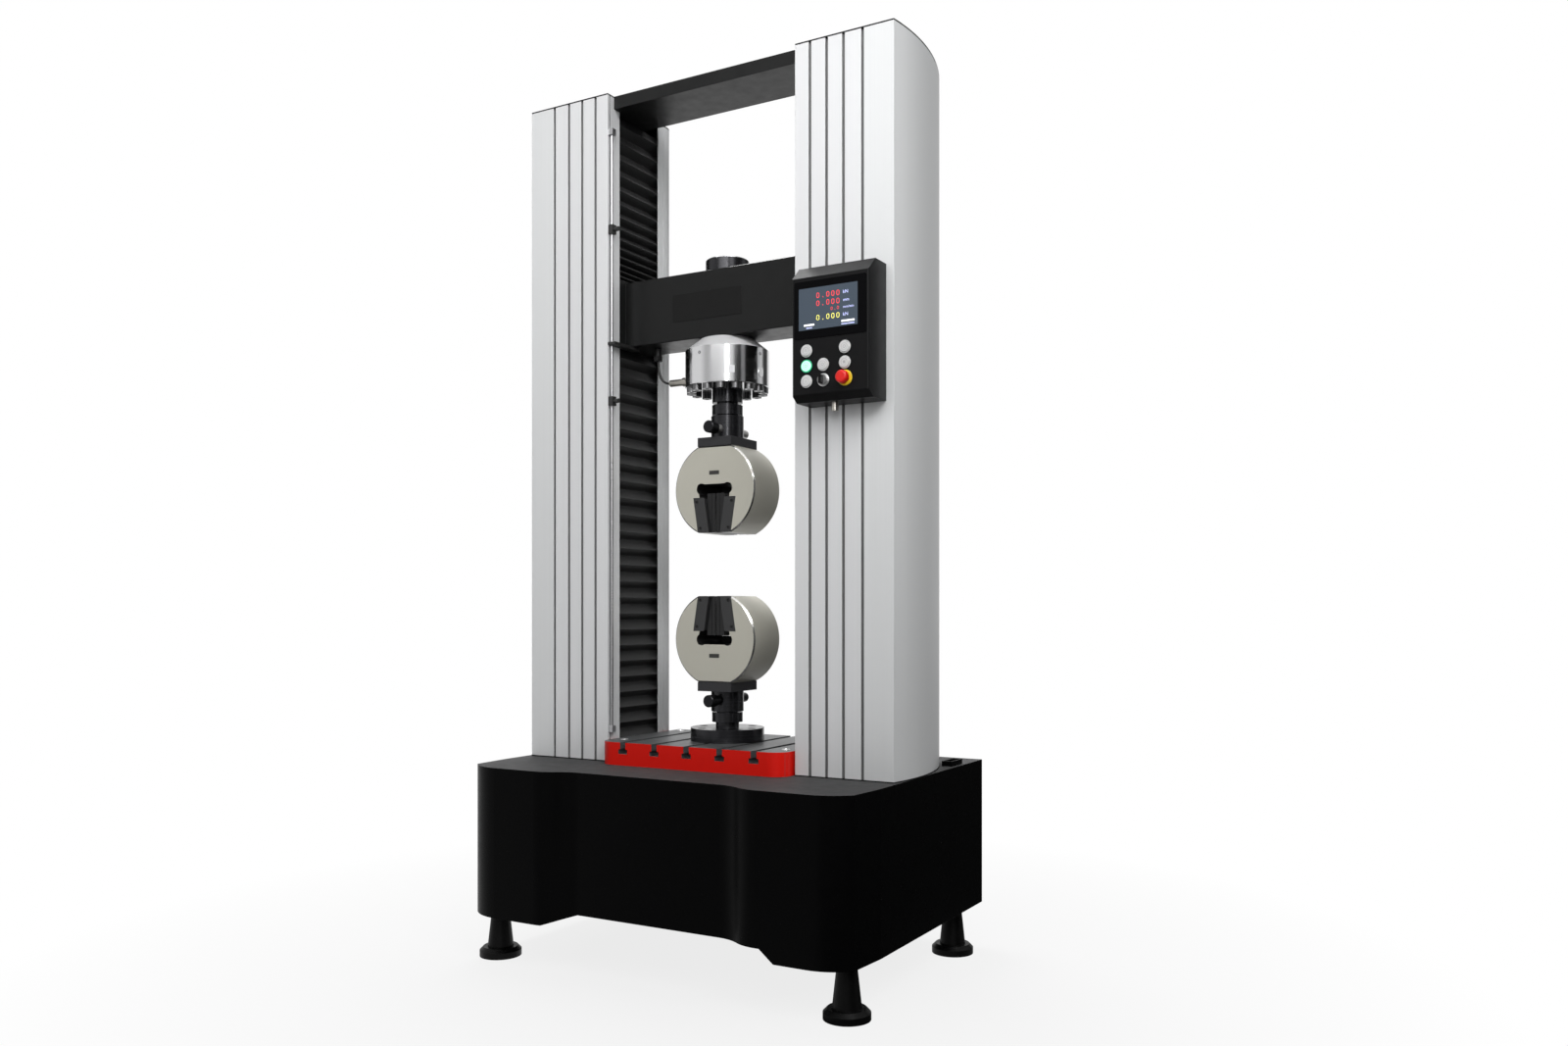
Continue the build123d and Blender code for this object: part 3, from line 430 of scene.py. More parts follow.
def recipes():
    """What each maker is told for each of its finishes."""
    tones = bpy.context.scene.machine_finishes
    shown = bpy.context.scene.machine_display
    knob_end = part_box("upper_coupling_pin")[0].y + 0.0342
    disc_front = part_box("selector_knob")[0].y + 0.0118
    return {
        # tone, roughness, specular level, depth of the peel, edge radius, tone of the top with painted light
        # from above
        coated: {
            "cabinet_black": (tones.cabinet, 0.30, 0.03, 0.000006, 0.0012, tones.cabinet_top_painted_light),
            "frame_steel": ((0.09, 0.09, 0.095), 0.5, 0.4),
            "beam_black": (tones.beam, 0.36, 0.22, FINE_PEEL),
            "motor_black": ((0.02, 0.02, 0.021), 0.5, 0.4),
            "panel_black": (tones.panel, 0.36, 0.08, FINE_PEEL, 0.001),
            "label_pale": ((0.70, 0.70, 0.72), 0.4, 0.4),
            "label_dark": ((0.03, 0.029, 0.026), 0.4, 0.4),
            "badge_black": ((0.006, 0.006, 0.006), 0.40, 0.15, FINE_PEEL),
        },
        # tone, roughness, specular level, depth of the texture, glow
        moulded: {
            "foot_rubber": ((0.0025, 0.0025, 0.0025), 0.40, 0.10),
            "belt_rubber": (SOFT_BLACK, 0.7, 0.3),
            # painted shadow strip at the columns' feet
            "gasket_black": ((0.006, 0.006, 0.006), 0.7, 0.2),
            "stop_black": (SOFT_BLACK, 0.4),
            "cable_black": (SOFT_BLACK, 0.45),
            "gland_black": ((0.014, 0.014, 0.014), 0.4),
            "mark_grey": ((0.40, 0.40, 0.41), 0.5),
            "screen_glass": ((0.0020, 0.0020, 0.0025), 0.14, 0.06, 0.000002),
            "emergency_red": (tones.emergency, 0.32, 0.5, FINE_PEEL),
            "collar_yellow": (tones.collar, 0.4, 0.5, FINE_PEEL),
            "button_white": (tones.button, 0.38, 0.5, FINE_PEEL),
            "button_green": (tones.lit_button, 0.35, 0.5, FINE_PEEL, 0.75),
            "rim_green": ((0.01, 0.40, 0.19), 0.35, 0.5, FINE_PEEL, 0.4),
        },
        # tone, roughness, metallic level
        turned_steel: {
            "ground_steel": ((0.52, 0.52, 0.53), 0.28),
            "rod_steel": ((0.45, 0.45, 0.46), 0.3),
            "connector_nickel": ((0.44, 0.42, 0.38), 0.28),
            "bolt_steel": ((0.15, 0.15, 0.153), 0.30),
            "ring_silver": ((0.62, 0.62, 0.62), 0.3),
            "black_oxide": (tones.oxide, 0.21, 0.7),
            "screw_black": ((0.010, 0.010, 0.0105), 0.35, 0.3),
        },
        plated: {
            "plate_black": ((0.03, 0.03, 0.033), 0.38, 0.4),
            "retainer_black": ((0.030, 0.030, 0.031), 0.42, 0.2),
        },
        grooved_aluminium: {"column_aluminium": (tones.column, 0.42, 0.28)},
        drawn_aluminium: {"cover_aluminium": (tones.cover, 0.46, 0.30)},
        painted_table: {"table_red": (tones.table, tones.table_top)},
        coated_fabric: {"bellows_fabric": (tones.fabric,)},
        bright_cell: {"cell_steel": (tones.cell,)},
        toothed_jaw: {"jaw_black": ((0.008, 0.008, 0.0085),)},
        nickel_grip: {
            "upper_grip_nickel": (tones.grip, "upper_grip_body"),
            "lower_grip_nickel": (tones.grip, "lower_grip_body"),
        },
        # tone in front, tone behind, depth where they change
        two_tone: {
            "pin_steel": (BLACK_STEEL, (0.55, 0.54, 0.53), knob_end),
            "lower_pin_black": (BLACK_STEEL, (0.022, 0.022, 0.024), knob_end),
            "selector_silver": (SOFT_BLACK, (0.70, 0.70, 0.70), disc_front),
        },
        # tone, strength of the light
        lit: {
            "picture_blue": (shown.background, 0.8),
            "digits_red": (shown.force, 0.9),
            "digits_yellow": (shown.peak, 0.9),
            "units_blue": (shown.unit, 0.8),
            "bars_white": (shown.bar, 0.85),
        },
    }


def finish(name):
    """The material of that name, made when first asked for."""
    title = "finish." + name
    material = bpy.data.materials.get(title)
    if not material:
        material = bpy.data.materials.new(title)
        material.use_nodes = True
        maker, told = next((maker, table[name]) for maker, table in recipes().items() if name in table)
        maker(material.node_tree, *told)
    return material


# Mesh building
def points_of(node_name):
    """A node's mesh points at rest."""
    made = frame["nodes"][node_name]
    return [made.matrix_world @ vert.co for vert in made.data.vertices]


def middle(node_name):
    low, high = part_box(node_name)
    return (low + high) / 2


def add_object(name, data):
    made = bpy.data.objects.new(name, data)
    bpy.context.scene.collection.objects.link(made)
    return made


def mesh_of(name, bm):
    """A mesh from a built form, which is used up."""
    mesh = bpy.data.meshes.new(name)
    bm.to_mesh(mesh)
    bm.free()
    return mesh


def piece(name, bm, body, look, smooth=True):
    """A new object from a built form, riding a body."""
    bmesh.ops.recalc_face_normals(bm, faces=bm.faces)
    mesh = mesh_of(name, bm)
    made = add_object(name, mesh)
    mesh.materials.append(finish(look))
    if smooth:
        mesh.polygons.foreach_set("use_smooth", [True] * len(mesh.polygons))
        mesh.set_sharp_from_angle(angle=radians(35))
    if body:
        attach(made, body)
    return made


def strip(bm, first, second, closed=False):
    """Faces between two rows of vertices, either of which may be a single point."""
    count = max(len(first), len(second))
    for step in range(count if closed else count - 1):
        after = (step + 1) % count
        corners = (first[step % len(first)], first[after % len(first)],
                   second[after % len(second)], second[step % len(second)])
        bm.faces.new(list(dict.fromkeys(corners)))


def lathe(bm, profile, place, steps, closed=False):
    """Turned form: radius and height pairs, or triples whose third value is a number of flat sides."""
    rings = []
    for radius, height, *sides in profile:
        ring = []
        for step in range(steps if radius else 1):
            angle = 2 * pi * step / steps
            reach = radius
            if sides:
                sector = 2 * pi / sides[0]
                reach = radius / cos(angle % sector - sector / 2)
            spot = Vector((reach * cos(angle), reach * sin(angle), height))
            ring.append(bm.verts.new(place @ spot))
        rings.append(ring)
    for low, high in zip(rings, rings[1:] + (rings[:1] if closed else [])):
        strip(bm, low, high, closed=True)


def facing_front(x, y, z):
    """Placement whose local +Z looks out of the machine's front."""
    return Matrix.Translation((x, y, z)) @ Matrix.Rotation(radians(90), 4, "X")


def prism(bm, outline, place, depth, bevel=0.0):
    """Closed plate from a plan outline, raised along local +Z, with a bevelled top edge."""
    centre = sum((Vector((*point, 0.0)) for point in outline), Vector()) / len(outline)
    levels = [(0.0, 0.0), (depth - bevel, 0.0)]
    if bevel:
        levels.append((depth, bevel))
    rings = []
    for height, inset in levels:
        ring = []
        for point in outline:
            spot = Vector((*point, height))
            towards = Vector((centre.x - spot.x, centre.y - spot.y, 0.0))
            ring.append(bm.verts.new(place @ (spot + towards.normalized() * inset)))
        rings.append(ring)
    for low, high in zip(rings, rings[1:]):
        strip(bm, low, high, closed=True)
    bm.faces.new(rings[0])
    bm.faces.new(rings[-1])


def rounded_plan(width, height, radius, steps=5):
    """Corner points of a rounded rectangle about its middle."""
    points = []
    for corner, (sx, sy) in enumerate(((1, 1), (-1, 1), (-1, -1), (1, -1))):
        for step in range(steps + 1):
            angle = radians(90 * corner + 90 * step / steps)
            points.append((sx * (width / 2 - radius) + radius * cos(angle),
                           sy * (height / 2 - radius) + radius * sin(angle)))
    return points


def nought(bm, place, width, height, stroke, thickness):
    """The digit 0 as a rounded ring."""
    inner_width = width - 2 * stroke
    outer = rounded_plan(width, height, width * 0.48)
    inner = rounded_plan(inner_width, height - 2 * stroke, inner_width * 0.48)
    rings = [[bm.verts.new(place @ Vector((*point, level))) for point in outline]
             for outline, level in ((outer, 0.0), (outer, thickness), (inner, thickness), (inner, 0.0))]
    for first, second in zip(rings, rings[1:] + rings[:1]):
        strip(bm, first, second, closed=True)


def wrapped(outline, radius, angle, z, thickness, bevel):
    """Thin plate bent round an upright cylinder."""
    bm = bmesh.new()
    prism(bm, outline, Matrix.Identity(4), thickness, bevel)
    for vert in bm.verts:
        turn = angle + vert.co.x / radius
        reach = radius + vert.co.z
        vert.co = Vector((reach * cos(turn), reach * sin(turn), z + vert.co.y))
    return bm


def lettering(bm, text, place, height, thickness):
    """Plain characters as raised mesh, centred on the placement."""
    capital_share = 0.72
    curve = bpy.data.curves.new("characters", "FONT")
    curve.body = text
    curve.size = height / capital_share
    curve.extrude = thickness / 2
    curve.resolution_u = 3
    curve.align_x = curve.align_y = "CENTER"
    holder = bpy.data.objects.new("characters", curve)
    mesh = bpy.data.meshes.new_from_object(holder)
    mesh.transform(place @ Matrix.Translation((0.0, 0.0, thickness / 2)))
    bm.from_mesh(mesh)
    bpy.data.meshes.remove(mesh)
    bpy.data.objects.remove(holder)
    bpy.data.curves.remove(curve)


# Pieces
class MACHINE_OT_finishes(bpy.types.Operator):
    """Give every frame node the finish of its material slot"""
    bl_idname = "machine.finishes"
    bl_label = "Finish frame nodes"

    def execute(self, context):
        own = {"lower_coupling_pin": "lower_pin_black", "upper_grip_body": "upper_grip_nickel",
               "lower_grip_body": "lower_grip_nickel"}
        for name, made in frame["nodes"].items():
            made.data.materials.clear()
            made.data.materials.append(finish(own.get(name, slot_of[name])))
        return {"FINISHED"}


CLOTH_POINTS = 9  # across the cloth's width
CREST_SHARE = 0.42  # height of a crest within its fold
CREST_DEPTH = 0.0016  # how far a crest's shoulders stand back
MOST_ROUNDING = 0.2  # share of a fold that half a crest may take
VALLEY_ROUNDING = 0.4  # of a valley against a crest
LEVEL_END = 0.01  # length without sag at the cloth's ends


def pleated_cover(bm, side, node_name, count, crowding, settings):
    """Folded strip of cloth, closer folds at the bottom; gives the width and length it was cut to."""
    low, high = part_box(node_name)
    reaches = [abs(point.x) for point in points_of(node_name)]
    near, far = min(reaches), max(reaches)
    valley, shoulder = far - settings.sheet, near + CREST_DEPTH
    steps = [index / count for index in range(count + 1)]
    heights = [low.z + (high.z - low.z) * (crowding * step * step + (1 - crowding) * step) for step in steps]
    path = [(valley, heights[0])]
    for bottom, top in zip(heights, heights[1:]):
        half = min(settings.ridge, (top - bottom) * MOST_ROUNDING)
        crest = bottom + (top - bottom) * CREST_SHARE
        path += [(valley, bottom + half * VALLEY_ROUNDING), (shoulder, crest - half), (near, crest),
                 (shoulder, crest + half), (valley, top - half * VALLEY_ROUNDING)]
    path.append((valley, heights[-1]))
    cut_length = sum(dist(first, second) for first, second in zip(path, path[1:]))
    front, back = [], []
    for x, z in path:
        fold = (far - x) / (far - near)
        sags = low.z + LEVEL_END < z < high.z - LEVEL_END
        front.append([])
        back.append([])
        for point in range(CLOTH_POINTS):
            part = point / (CLOTH_POINTS - 1)
            drop = settings.sag * 4 * part * (1 - part) * fold if sags else 0.0
            y = low.y + (high.y - low.y) * part
            front[-1].append(bm.verts.new((side * x, y, z - drop)))
            back[-1].append(bm.verts.new((side * (x + settings.sheet), y, z - drop)))
    for skin in (front, back):
        for lower, upper in zip(skin, skin[1:]):
            strip(bm, lower, upper)
    for edge in (0, -1):
        strip(bm, [row[edge] for row in front], [row[edge] for row in back])
    for end in (0, -1):
        strip(bm, front[end], back[end])
    return high.y - low.y, cut_length


class MACHINE_OT_bellows(bpy.types.Operator):
    """Fold the fabric covers above and below the crosshead"""
    bl_idname = "machine.bellows"
    bl_label = "Pleated bellows"

    def execute(self, context):
        settings = context.scene.machine_bellows
        for node_name, count, crowding in (("upper_bellows", settings.upper_pleats, 0.72),
                                           ("lower_bellows", settings.lower_pleats, 0.10)):
            for hand, side in (("left", -1), ("right", 1)):
                bm = bmesh.new()
                cut = pleated_cover(bm, side, node_name, count, crowding, settings)
                made = piece(f"{node_name}_{hand}_cloth", bm, None, "bellows_fabric")
                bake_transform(made)
                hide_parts(node_name)
        return {"FINISHED"}


class MACHINE_OT_cable(bpy.types.Operator):
    """Run the load cell's cable from its connector up to the gland"""
    bl_idname = "machine.cable"
    bl_label = "Load cell cable"

    def execute(self, context):
        settings = context.scene.machine_cable
        plug, gland = middle("load_cell_connector"), middle("cable_gland")
        leaves = (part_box("load_cell_connector")[0].x, plug.y, plug.z)
        enters = (gland.x, gland.y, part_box("cable_gland")[0].z)
        route = (leaves, (gland.x, gland.y, plug.z), enters)
        curve = bpy.data.curves.new("load_cell_cable_run", "CURVE")
        curve.dimensions = "3D"
        curve.resolution_u = 24
        curve.bevel_depth = settings.cable_diameter / 2
        curve.bevel_resolution = 6
        curve.use_fill_caps = True
        spline = curve.splines.new("NURBS")
        spline.points.add(len(route) - 1)
        for point, spot in zip(spline.points, route):
            point.co = (*spot, 1.0)
        spline.order_u = 3
        spline.use_endpoint_u = True
        made = add_object("load_cell_cable_run", curve)
        curve.materials.append(finish("cable_black"))
        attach(made, "crosshead")
        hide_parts("load_cell_cable")
        return {"FINISHED"}


LEFT_BARE, RIGHT_BARE, BOTTOM_BARE, TOP_BARE = 0.013, 0.023, 0.021, 0.018  # glass round the picture
INK = 0.0002  # thickness of the marks on the picture
INK_LIFT = 0.0003  # where they start in front of the glass
LAST_DIGIT = 0.672  # its place across the picture
DIGIT_PITCH = 0.085
BAR_PLACES = (0.18, 0.84)


class MACHINE_OT_display(bpy.types.Operator):
    """Light the display with plain digits, units and bars"""
    bl_idname = "machine.display"
    bl_label = "Display picture"

    def execute(self, context):
        low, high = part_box("display_screen")
        left, right = low.x + LEFT_BARE, high.x - RIGHT_BARE
        bottom, top = low.z + BOTTOM_BARE, high.z - TOP_BARE
        width, height = right - left, top - bottom
        digit = context.scene.machine_display.digit_height * height

        def spot(u, v, proud=INK_LIFT):
            return facing_front(left + u * width, low.y - proud, top - v * height)

        def reading(bm, places, v, size):
            """Noughts with a point after the first, ending at the same place in every row."""
            tall = digit * size
            for index in range(places):
                place = spot(LAST_DIGIT - DIGIT_PITCH * size * (places - 1 - index), v)
                if index == 1:
                    dot = place @ Matrix.Translation((0.0, -tall * 0.42, 0.0))
                    prism(bm, rounded_plan(tall * 0.16, tall * 0.16, 0.0003), dot, INK)
                else:
                    nought(bm, place, tall * 0.62, tall, tall * 0.105, INK)

        def bars(bm, widths, v, tall, radius):
            for u, wide in zip(BAR_PLACES, widths):
                prism(bm, rounded_plan(wide * width, tall * height, radius), spot(u, v), INK, INK / 2)

        bm = bmesh.new()
        prism(bm, rounded_plan(width, height, 0.001), spot(0.5, 0.5, -0.0002), 0.0005, 0.0002)
        piece("display_picture", bm, "frame", "picture_blue")
        bm = bmesh.new()
        for places, v, size in ((5, 0.20, 1.0), (5, 0.39, 1.0), (3, 0.555, 0.62)):
            reading(bm, places, v, size)
        piece("display_force_digits", bm, "frame", "digits_red", smooth=False)
        bm = bmesh.new()
        reading(bm, 5, 0.73, 1.0)
        piece("display_peak_digits", bm, "frame", "digits_yellow", smooth=False)
        bm = bmesh.new()
        for text, u, v, size in (("kN", 0.80, 0.20, 0.66), ("mm", 0.81, 0.39, 0.60),
                                 ("mm/min", 0.85, 0.555, 0.5), ("kN", 0.80, 0.73, 0.66)):
            lettering(bm, text, spot(u, v), digit * size, INK)
        bars(bm, (0.10, 0.22), 0.955, 0.02, 0.0006)
        piece("display_units", bm, "frame", "units_blue", smooth=False)
        bm = bmesh.new()
        bars(bm, (0.18, 0.22), 0.885, 0.045, 0.001)
        piece("display_bars", bm, "frame", "bars_white", smooth=False)
        return {"FINISHED"}


# Key nodes and their bodies
KEYS = {f"{key}_button": f"{key}_key" for key in ("jog_up", "start", "jog_down", "return", "zero", "stop")}
# Turned rings of the controls: radius and height pairs from the box's front
KEY_RIM = ((0.0134, 0.0004), (0.0134, 0.0030), (0.0146, 0.0034), (0.0160, 0.0028), (0.0164, 0.0004))
SELECTOR_RING = ((0.0133, 0.0), (0.0133, 0.0026), (0.0146, 0.0032), (0.0160, 0.0026), (0.0164, 0.0))
EMERGENCY_COLLAR = ((0.0114, 0.0), (0.0114, 0.0018), (0.0180, 0.0024), (0.0193, 0.0016), (0.0196, 0.0))
BOX_LIP = 0.0025  # how far the box's rim stands in front of its face
MARK_SINK, MARK_RISE = 0.0001, 0.0002
CHEVRON = ((-0.0034, -0.0014), (0.0, 0.0020), (0.0034, -0.0014), (0.0, 0.0004))
CHEVRON_PLACES = (-0.0012, 0.0022)
STOP_SQUARE = (0.0066, 0.0066, 0.0006)


class MACHINE_OT_controls(bpy.types.Operator):
    """Add key rings, key marks, the selector ring and the emergency collar"""
    bl_idname = "machine.controls"
    bl_label = "Control rings and marks"

    def execute(self, context):
        box_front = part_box("control_box")[0].y + BOX_LIP

        def ring(bm, profile, node_name):
            spot = middle(node_name)
            lathe(bm, profile, facing_front(spot.x, box_front, spot.z), 48, closed=True)

        rims, halo, selector, collar = (bmesh.new() for _ in range(4))
        for node_name in KEYS:
            ring(halo if slot_of[node_name] == "button_green" else rims, KEY_RIM, node_name)
        ring(selector, SELECTOR_RING, "selector_knob")
        ring(collar, EMERGENCY_COLLAR, "emergency_stop")
        piece("key_rims", rims, "frame", "button_white")
        piece("lit_key_rim", halo, "frame", "rim_green")
        piece("selector_ring", selector, "frame", "ring_silver")
        piece("emergency_collar", collar, "frame", "collar_yellow")
        for node_name, body in KEYS.items():
            self.mark(node_name, body)
        return {"FINISHED"}

    def mark(self, node_name, body):
        """Thin ring on a key with a chevron pair, a square or a small ring in it."""
        spot = middle(node_name)
        place = facing_front(spot.x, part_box(node_name)[0].y, spot.z)
        sunk = place @ Matrix.Translation((0.0, 0.0, -MARK_SINK))
        bm = bmesh.new()

        def flat_ring(inner, outer, steps):
            lathe(bm, [(inner, -MARK_SINK), (inner, MARK_RISE), (outer, MARK_RISE), (outer, -MARK_SINK)],
                  place, steps, closed=True)

        flat_ring(0.0078, 0.0086, 40)
        if node_name.startswith("jog"):
            turn = 1 if "up" in node_name else -1
            for part in CHEVRON_PLACES:
                outline = [(x, turn * (part + y)) for x, y in CHEVRON]
                prism(bm, outline[::turn], sunk, MARK_SINK + MARK_RISE)
        elif node_name.startswith("stop"):
            prism(bm, rounded_plan(*STOP_SQUARE), sunk, MARK_SINK + MARK_RISE)
        else:
            flat_ring(0.0026, 0.0040, 32)
        piece(node_name + "_mark", bm, body, "mark_grey")


def cap_screw(bm, place, radius, height):
    """Socket head with a rounded rim and a hexagon recess."""
    recess = radius * 0.52
    rim = radius * 0.12
    lathe(bm, [(0.0, 0.0), (radius, 0.0), (radius, height - rim), (radius - rim, height),
               (recess * 1.25, height), (recess, height - rim * 0.5, 6), (recess, height * 0.45, 6),
               (0.0, height * 0.35)], place, 24)


# The two grips: level, body and the way from the mouth into the grip
GRIPS = (("upper", "crosshead", 1), ("lower", "frame", -1))
WEDGE_SLOPE = tan(radians(9.0))
RETAINER_OUTSIDE = 0.0545  # from the middle to a retainer's outer edge at the mouth
RETAINER_INSET = 0.010  # of the screws from that edge
RETAINER_ENDS = (0.012, 0.086)
RETAINER_SEAT = 0.0049  # behind the grip's face
FLANGE_HEIGHT, FLANGE_SEAT, FLANGE_CIRCLE = 0.0365, 0.0198, 0.080
TABLE_BOLT_X, TABLE_BOLT_FRONT, TABLE_BOLT_BACK = 0.265, 0.077, 0.040
PLUG_BEARINGS = (-98, -8, 82, 172)
PLUG_DROP = 0.052  # below the load cell's top
PLUG_RECESS = 0.0022


class MACHINE_OT_fasteners(bpy.types.Operator):
    """Fit the visible screws and bolts"""
    bl_idname = "machine.fasteners"
    bl_label = "Screws and bolts"

    def execute(self, context):
        sizes = context.scene.machine_fasteners
        for level, body, up in GRIPS:
            low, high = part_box(level + "_grip_body")
            mouth = low.z if up > 0 else high.z
            seat = (low.y - high.y) / 2 + RETAINER_SEAT
            bm = bmesh.new()
            for end in RETAINER_ENDS:
                for side in (-1, 1):
                    x = side * (RETAINER_OUTSIDE - RETAINER_INSET + end * WEDGE_SLOPE)
                    front = facing_front(x, seat, mouth + up * end)
                    back = Matrix.Rotation(pi, 4, "Z") @ facing_front(-x, seat, mouth + up * end)
                    for place in (front, back):
                        cap_screw(bm, place, sizes.retainer_screw, 0.0042)
            piece(level + "_retainer_screws", bm, body, "screw_black")
        low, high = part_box("work_table")
        bm = bmesh.new()
        for index in range(6):
            angle = radians(60 * index)
            spot = Vector((FLANGE_CIRCLE * cos(angle), FLANGE_CIRCLE * sin(angle),
                           high.z + FLANGE_HEIGHT - FLANGE_SEAT))
            cap_screw(bm, Matrix.Translation(spot), sizes.flange_bolt, 0.014)
        piece("flange_bolts", bm, "frame", "black_oxide")
        bm = bmesh.new()
        for x in (-TABLE_BOLT_X, TABLE_BOLT_X):
            for y in (low.y + TABLE_BOLT_FRONT, high.y - TABLE_BOLT_BACK):
                cap_screw(bm, Matrix.Translation((x, y, high.z - 0.0001)), sizes.table_bolt, 0.0016)
        piece("table_bolts", bm, "frame", "ring_silver")
        low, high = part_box("load_cell")
        reach = (high.x - low.x) / 2
        bm = bmesh.new()
        for bearing in PLUG_BEARINGS:
            angle = radians(bearing)
            out = Vector((cos(angle), sin(angle), 0.0))
            spot = Vector((out.x * reach, out.y * reach, high.z - PLUG_DROP))
            turn = Vector((0.0, 0.0, 1.0)).rotation_difference(out).to_matrix().to_4x4()
            lathe(bm, [(0.0, -0.0030), (PLUG_RECESS, -0.0030, 6), (PLUG_RECESS, 0.0001, 6),
                       (sizes.cell_plug, 0.0003), (sizes.cell_plug, -0.0035), (0.0, -0.0035)],
                  Matrix.Translation(spot) @ turn, 24)
        piece("cell_plugs", bm, "crosshead", "black_oxide")
        return {"FINISHED"}


# Bare plates: width, height, corner radius and, for the rounded one, steps in a corner
CROSSHEAD_PLATE = (0.232, 0.078, 0.003)
CROSSHEAD_PLATE_PLACE = (-0.026, -0.0678, -0.002)  # from the beam's middle in height
CELL_LABEL = (0.0165, 0.020, 0.0008)
CELL_COVER = (0.022, 0.030, 0.0109, 10)
CELL_LABEL_BEARING, CELL_COVER_BEARING = radians(-52), radians(-6.3)
CELL_PLATE_RISE = 0.035  # above the load cell's bottom
GRIP_LABEL = (0.033, 0.011, 0.001)
GRIP_LABEL_RISE = 0.046  # from the grip's middle


class MACHINE_OT_plates(bpy.types.Operator):
    """Add the bare plates on the crosshead, the grips and the load cell"""
    bl_idname = "machine.plates"
    bl_label = "Bare plates"

    def execute(self, context):
        x, y, rise = CROSSHEAD_PLATE_PLACE
        place = facing_front(x, y, middle("crosshead_beam").z + rise)
        bm = bmesh.new()
        prism(bm, rounded_plan(*CROSSHEAD_PLATE), place, 0.0012, 0.0005)
        piece("crosshead_plate", bm, "crosshead", "badge_black")
        low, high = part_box("load_cell")
        skin, z = (high.x - low.x) / 2 - 0.0001, low.z + CELL_PLATE_RISE
        bm = wrapped(rounded_plan(*CELL_LABEL), skin, CELL_LABEL_BEARING, z, 0.0004, 0.0001)
        piece("cell_label", bm, "crosshead", "label_pale")
        bm = wrapped(rounded_plan(*CELL_COVER), skin, CELL_COVER_BEARING, z, 0.0009, 0.0005)
        piece("cell_cover_plate", bm, "crosshead", "cell_steel")
        for level, body, up in GRIPS:
            grip = middle(level + "_grip_body")
            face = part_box(level + "_grip_body")[0].y
            bm = bmesh.new()
            place = facing_front(0.0, face + 0.0002, grip.z + up * GRIP_LABEL_RISE)
            prism(bm, rounded_plan(*GRIP_LABEL), place, 0.0008, 0.0003)
            piece(level + "_grip_label", bm, body, "label_dark")
        return {"FINISHED"}


class MACHINE_OT_shadow_strips(bpy.types.Operator):
    """Lay thin black strips under the columns, painted shadow for the gap where each column meets the base"""
    bl_idname = "machine.gaskets"
    bl_label = "Column gaskets"

    def execute(self, context):
        # Painted shadow: a thin black strip stands for the shadow gap at each column's foot.
        overhang, thickness, bevel = 0.0012, 0.0030, 0.0005
        bm = bmesh.new()
        for side in ("left", "right"):
            plan = [point.to_2d() for kind in ("profile", "cover")
                    for point in points_of(f"{side}_column_{kind}")]
            hull = [plan[index] for index in convex_hull_2d(plan)]
            centre = sum(hull, Vector((0.0, 0.0))) / len(hull)
            outline = [point + (point - centre).normalized() * overhang for point in hull]
            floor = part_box(f"{side}_column_cover")[0].z
            prism(bm, outline, Matrix.Translation((0.0, 0.0, floor)), thickness, bevel)
        piece("column_gaskets", bm, "frame", "gasket_black")
        return {"FINISHED"}


# Soft lamps: place, aim, width, height and the angle that the light spreads over
LAMPS = {
    "key": ((0.3, -3.1, 3.9), (-0.9, 0.0, 2.8), 3.0, 2.6, 90),
    "side": ((2.9, -1.9, 3.9), (0.4, 0.0, 1.1), 1.6, 2.0, 85),
    "strip": ((2.0, -3.3, 2.1), (0.0, 0.0, 1.5), 0.3, 1.8, 180),
    "top": ((-0.9, 0.8, 4.6), (0.1, 0.0, 1.0), 1.8, 1.4, 180),
}

# Brightness of the room in reflections, by bearing from the front in degrees, right positive
ROOM_LEVELS = {-180: 1.0, -110: 1.0, -95: 0.9, -45: 0.9, -27: 0.55, 20: 0.75, 46: 0.75, 53: 0.03, 98: 0.03,
               106: 0.9, 138: 0.9, 146: 0.05, 168: 0.05, 180: 1.0}


class MACHINE_OT_stage(bpy.types.Operator):
    """Lay the floor, hang the lamps and set the camera"""
    bl_idname = "machine.stage"
    bl_label = "Stage"

    def execute(self, context):
        settings = context.scene.machine_stage
        bm = bmesh.new()
        bmesh.ops.create_grid(bm, x_segments=8, y_segments=8, size=14.0)
        floor = add_object("floor", mesh_of("floor", bm))
        floor.data.materials.append(floor_finish(settings))
        light_world(context.scene, settings)
        for name, (place, aim, width, height, opening) in LAMPS.items():
            light = bpy.data.lights.new(name + "_lamp", "AREA")
            light.spread = radians(opening)
            light.shape = "RECTANGLE"
            light.size, light.size_y = width, height
            light.energy = getattr(settings, name)
            hung = add_object(light.name, light)
            hung.location = place
            hung.rotation_euler = (Vector(aim) - Vector(place)).to_track_quat("-Z", "Y").to_euler()
        camera = bpy.data.cameras.new("camera")
        camera.sensor_width = 36.0
        camera.lens = settings.lens
        camera.shift_y = settings.rise
        camera.clip_end = 100.0
        eye = add_object("camera", camera)
        eye.location = settings.camera_place
        eye.rotation_euler = (radians(90), 0.0, settings.camera_turn)
        context.scene.camera = eye
        context.scene.view_settings.view_transform = "Standard"
        return {"FINISHED"}


def room_glow(tree, output):
    """How bright the room looks in reflections towards a direction or a place."""
    ahead = product(component(tree, "Y", output), -1.0)
    bearing = sums("ARCTAN2", component(tree, "X", output), ahead)
    room = node(tree, "ValToRGB", Fac=rising(bearing, -pi, pi))
    stops = room.color_ramp.elements
    for degrees, level in ROOM_LEVELS.items():
        at = (degrees + 180) / 360
        stop = stops[0] if degrees == -180 else stops[-1] if degrees == 180 else stops.new(at)
        stop.position = at
        stop.color = (level, level, level, 1.0)
    return room.outputs["Color"]


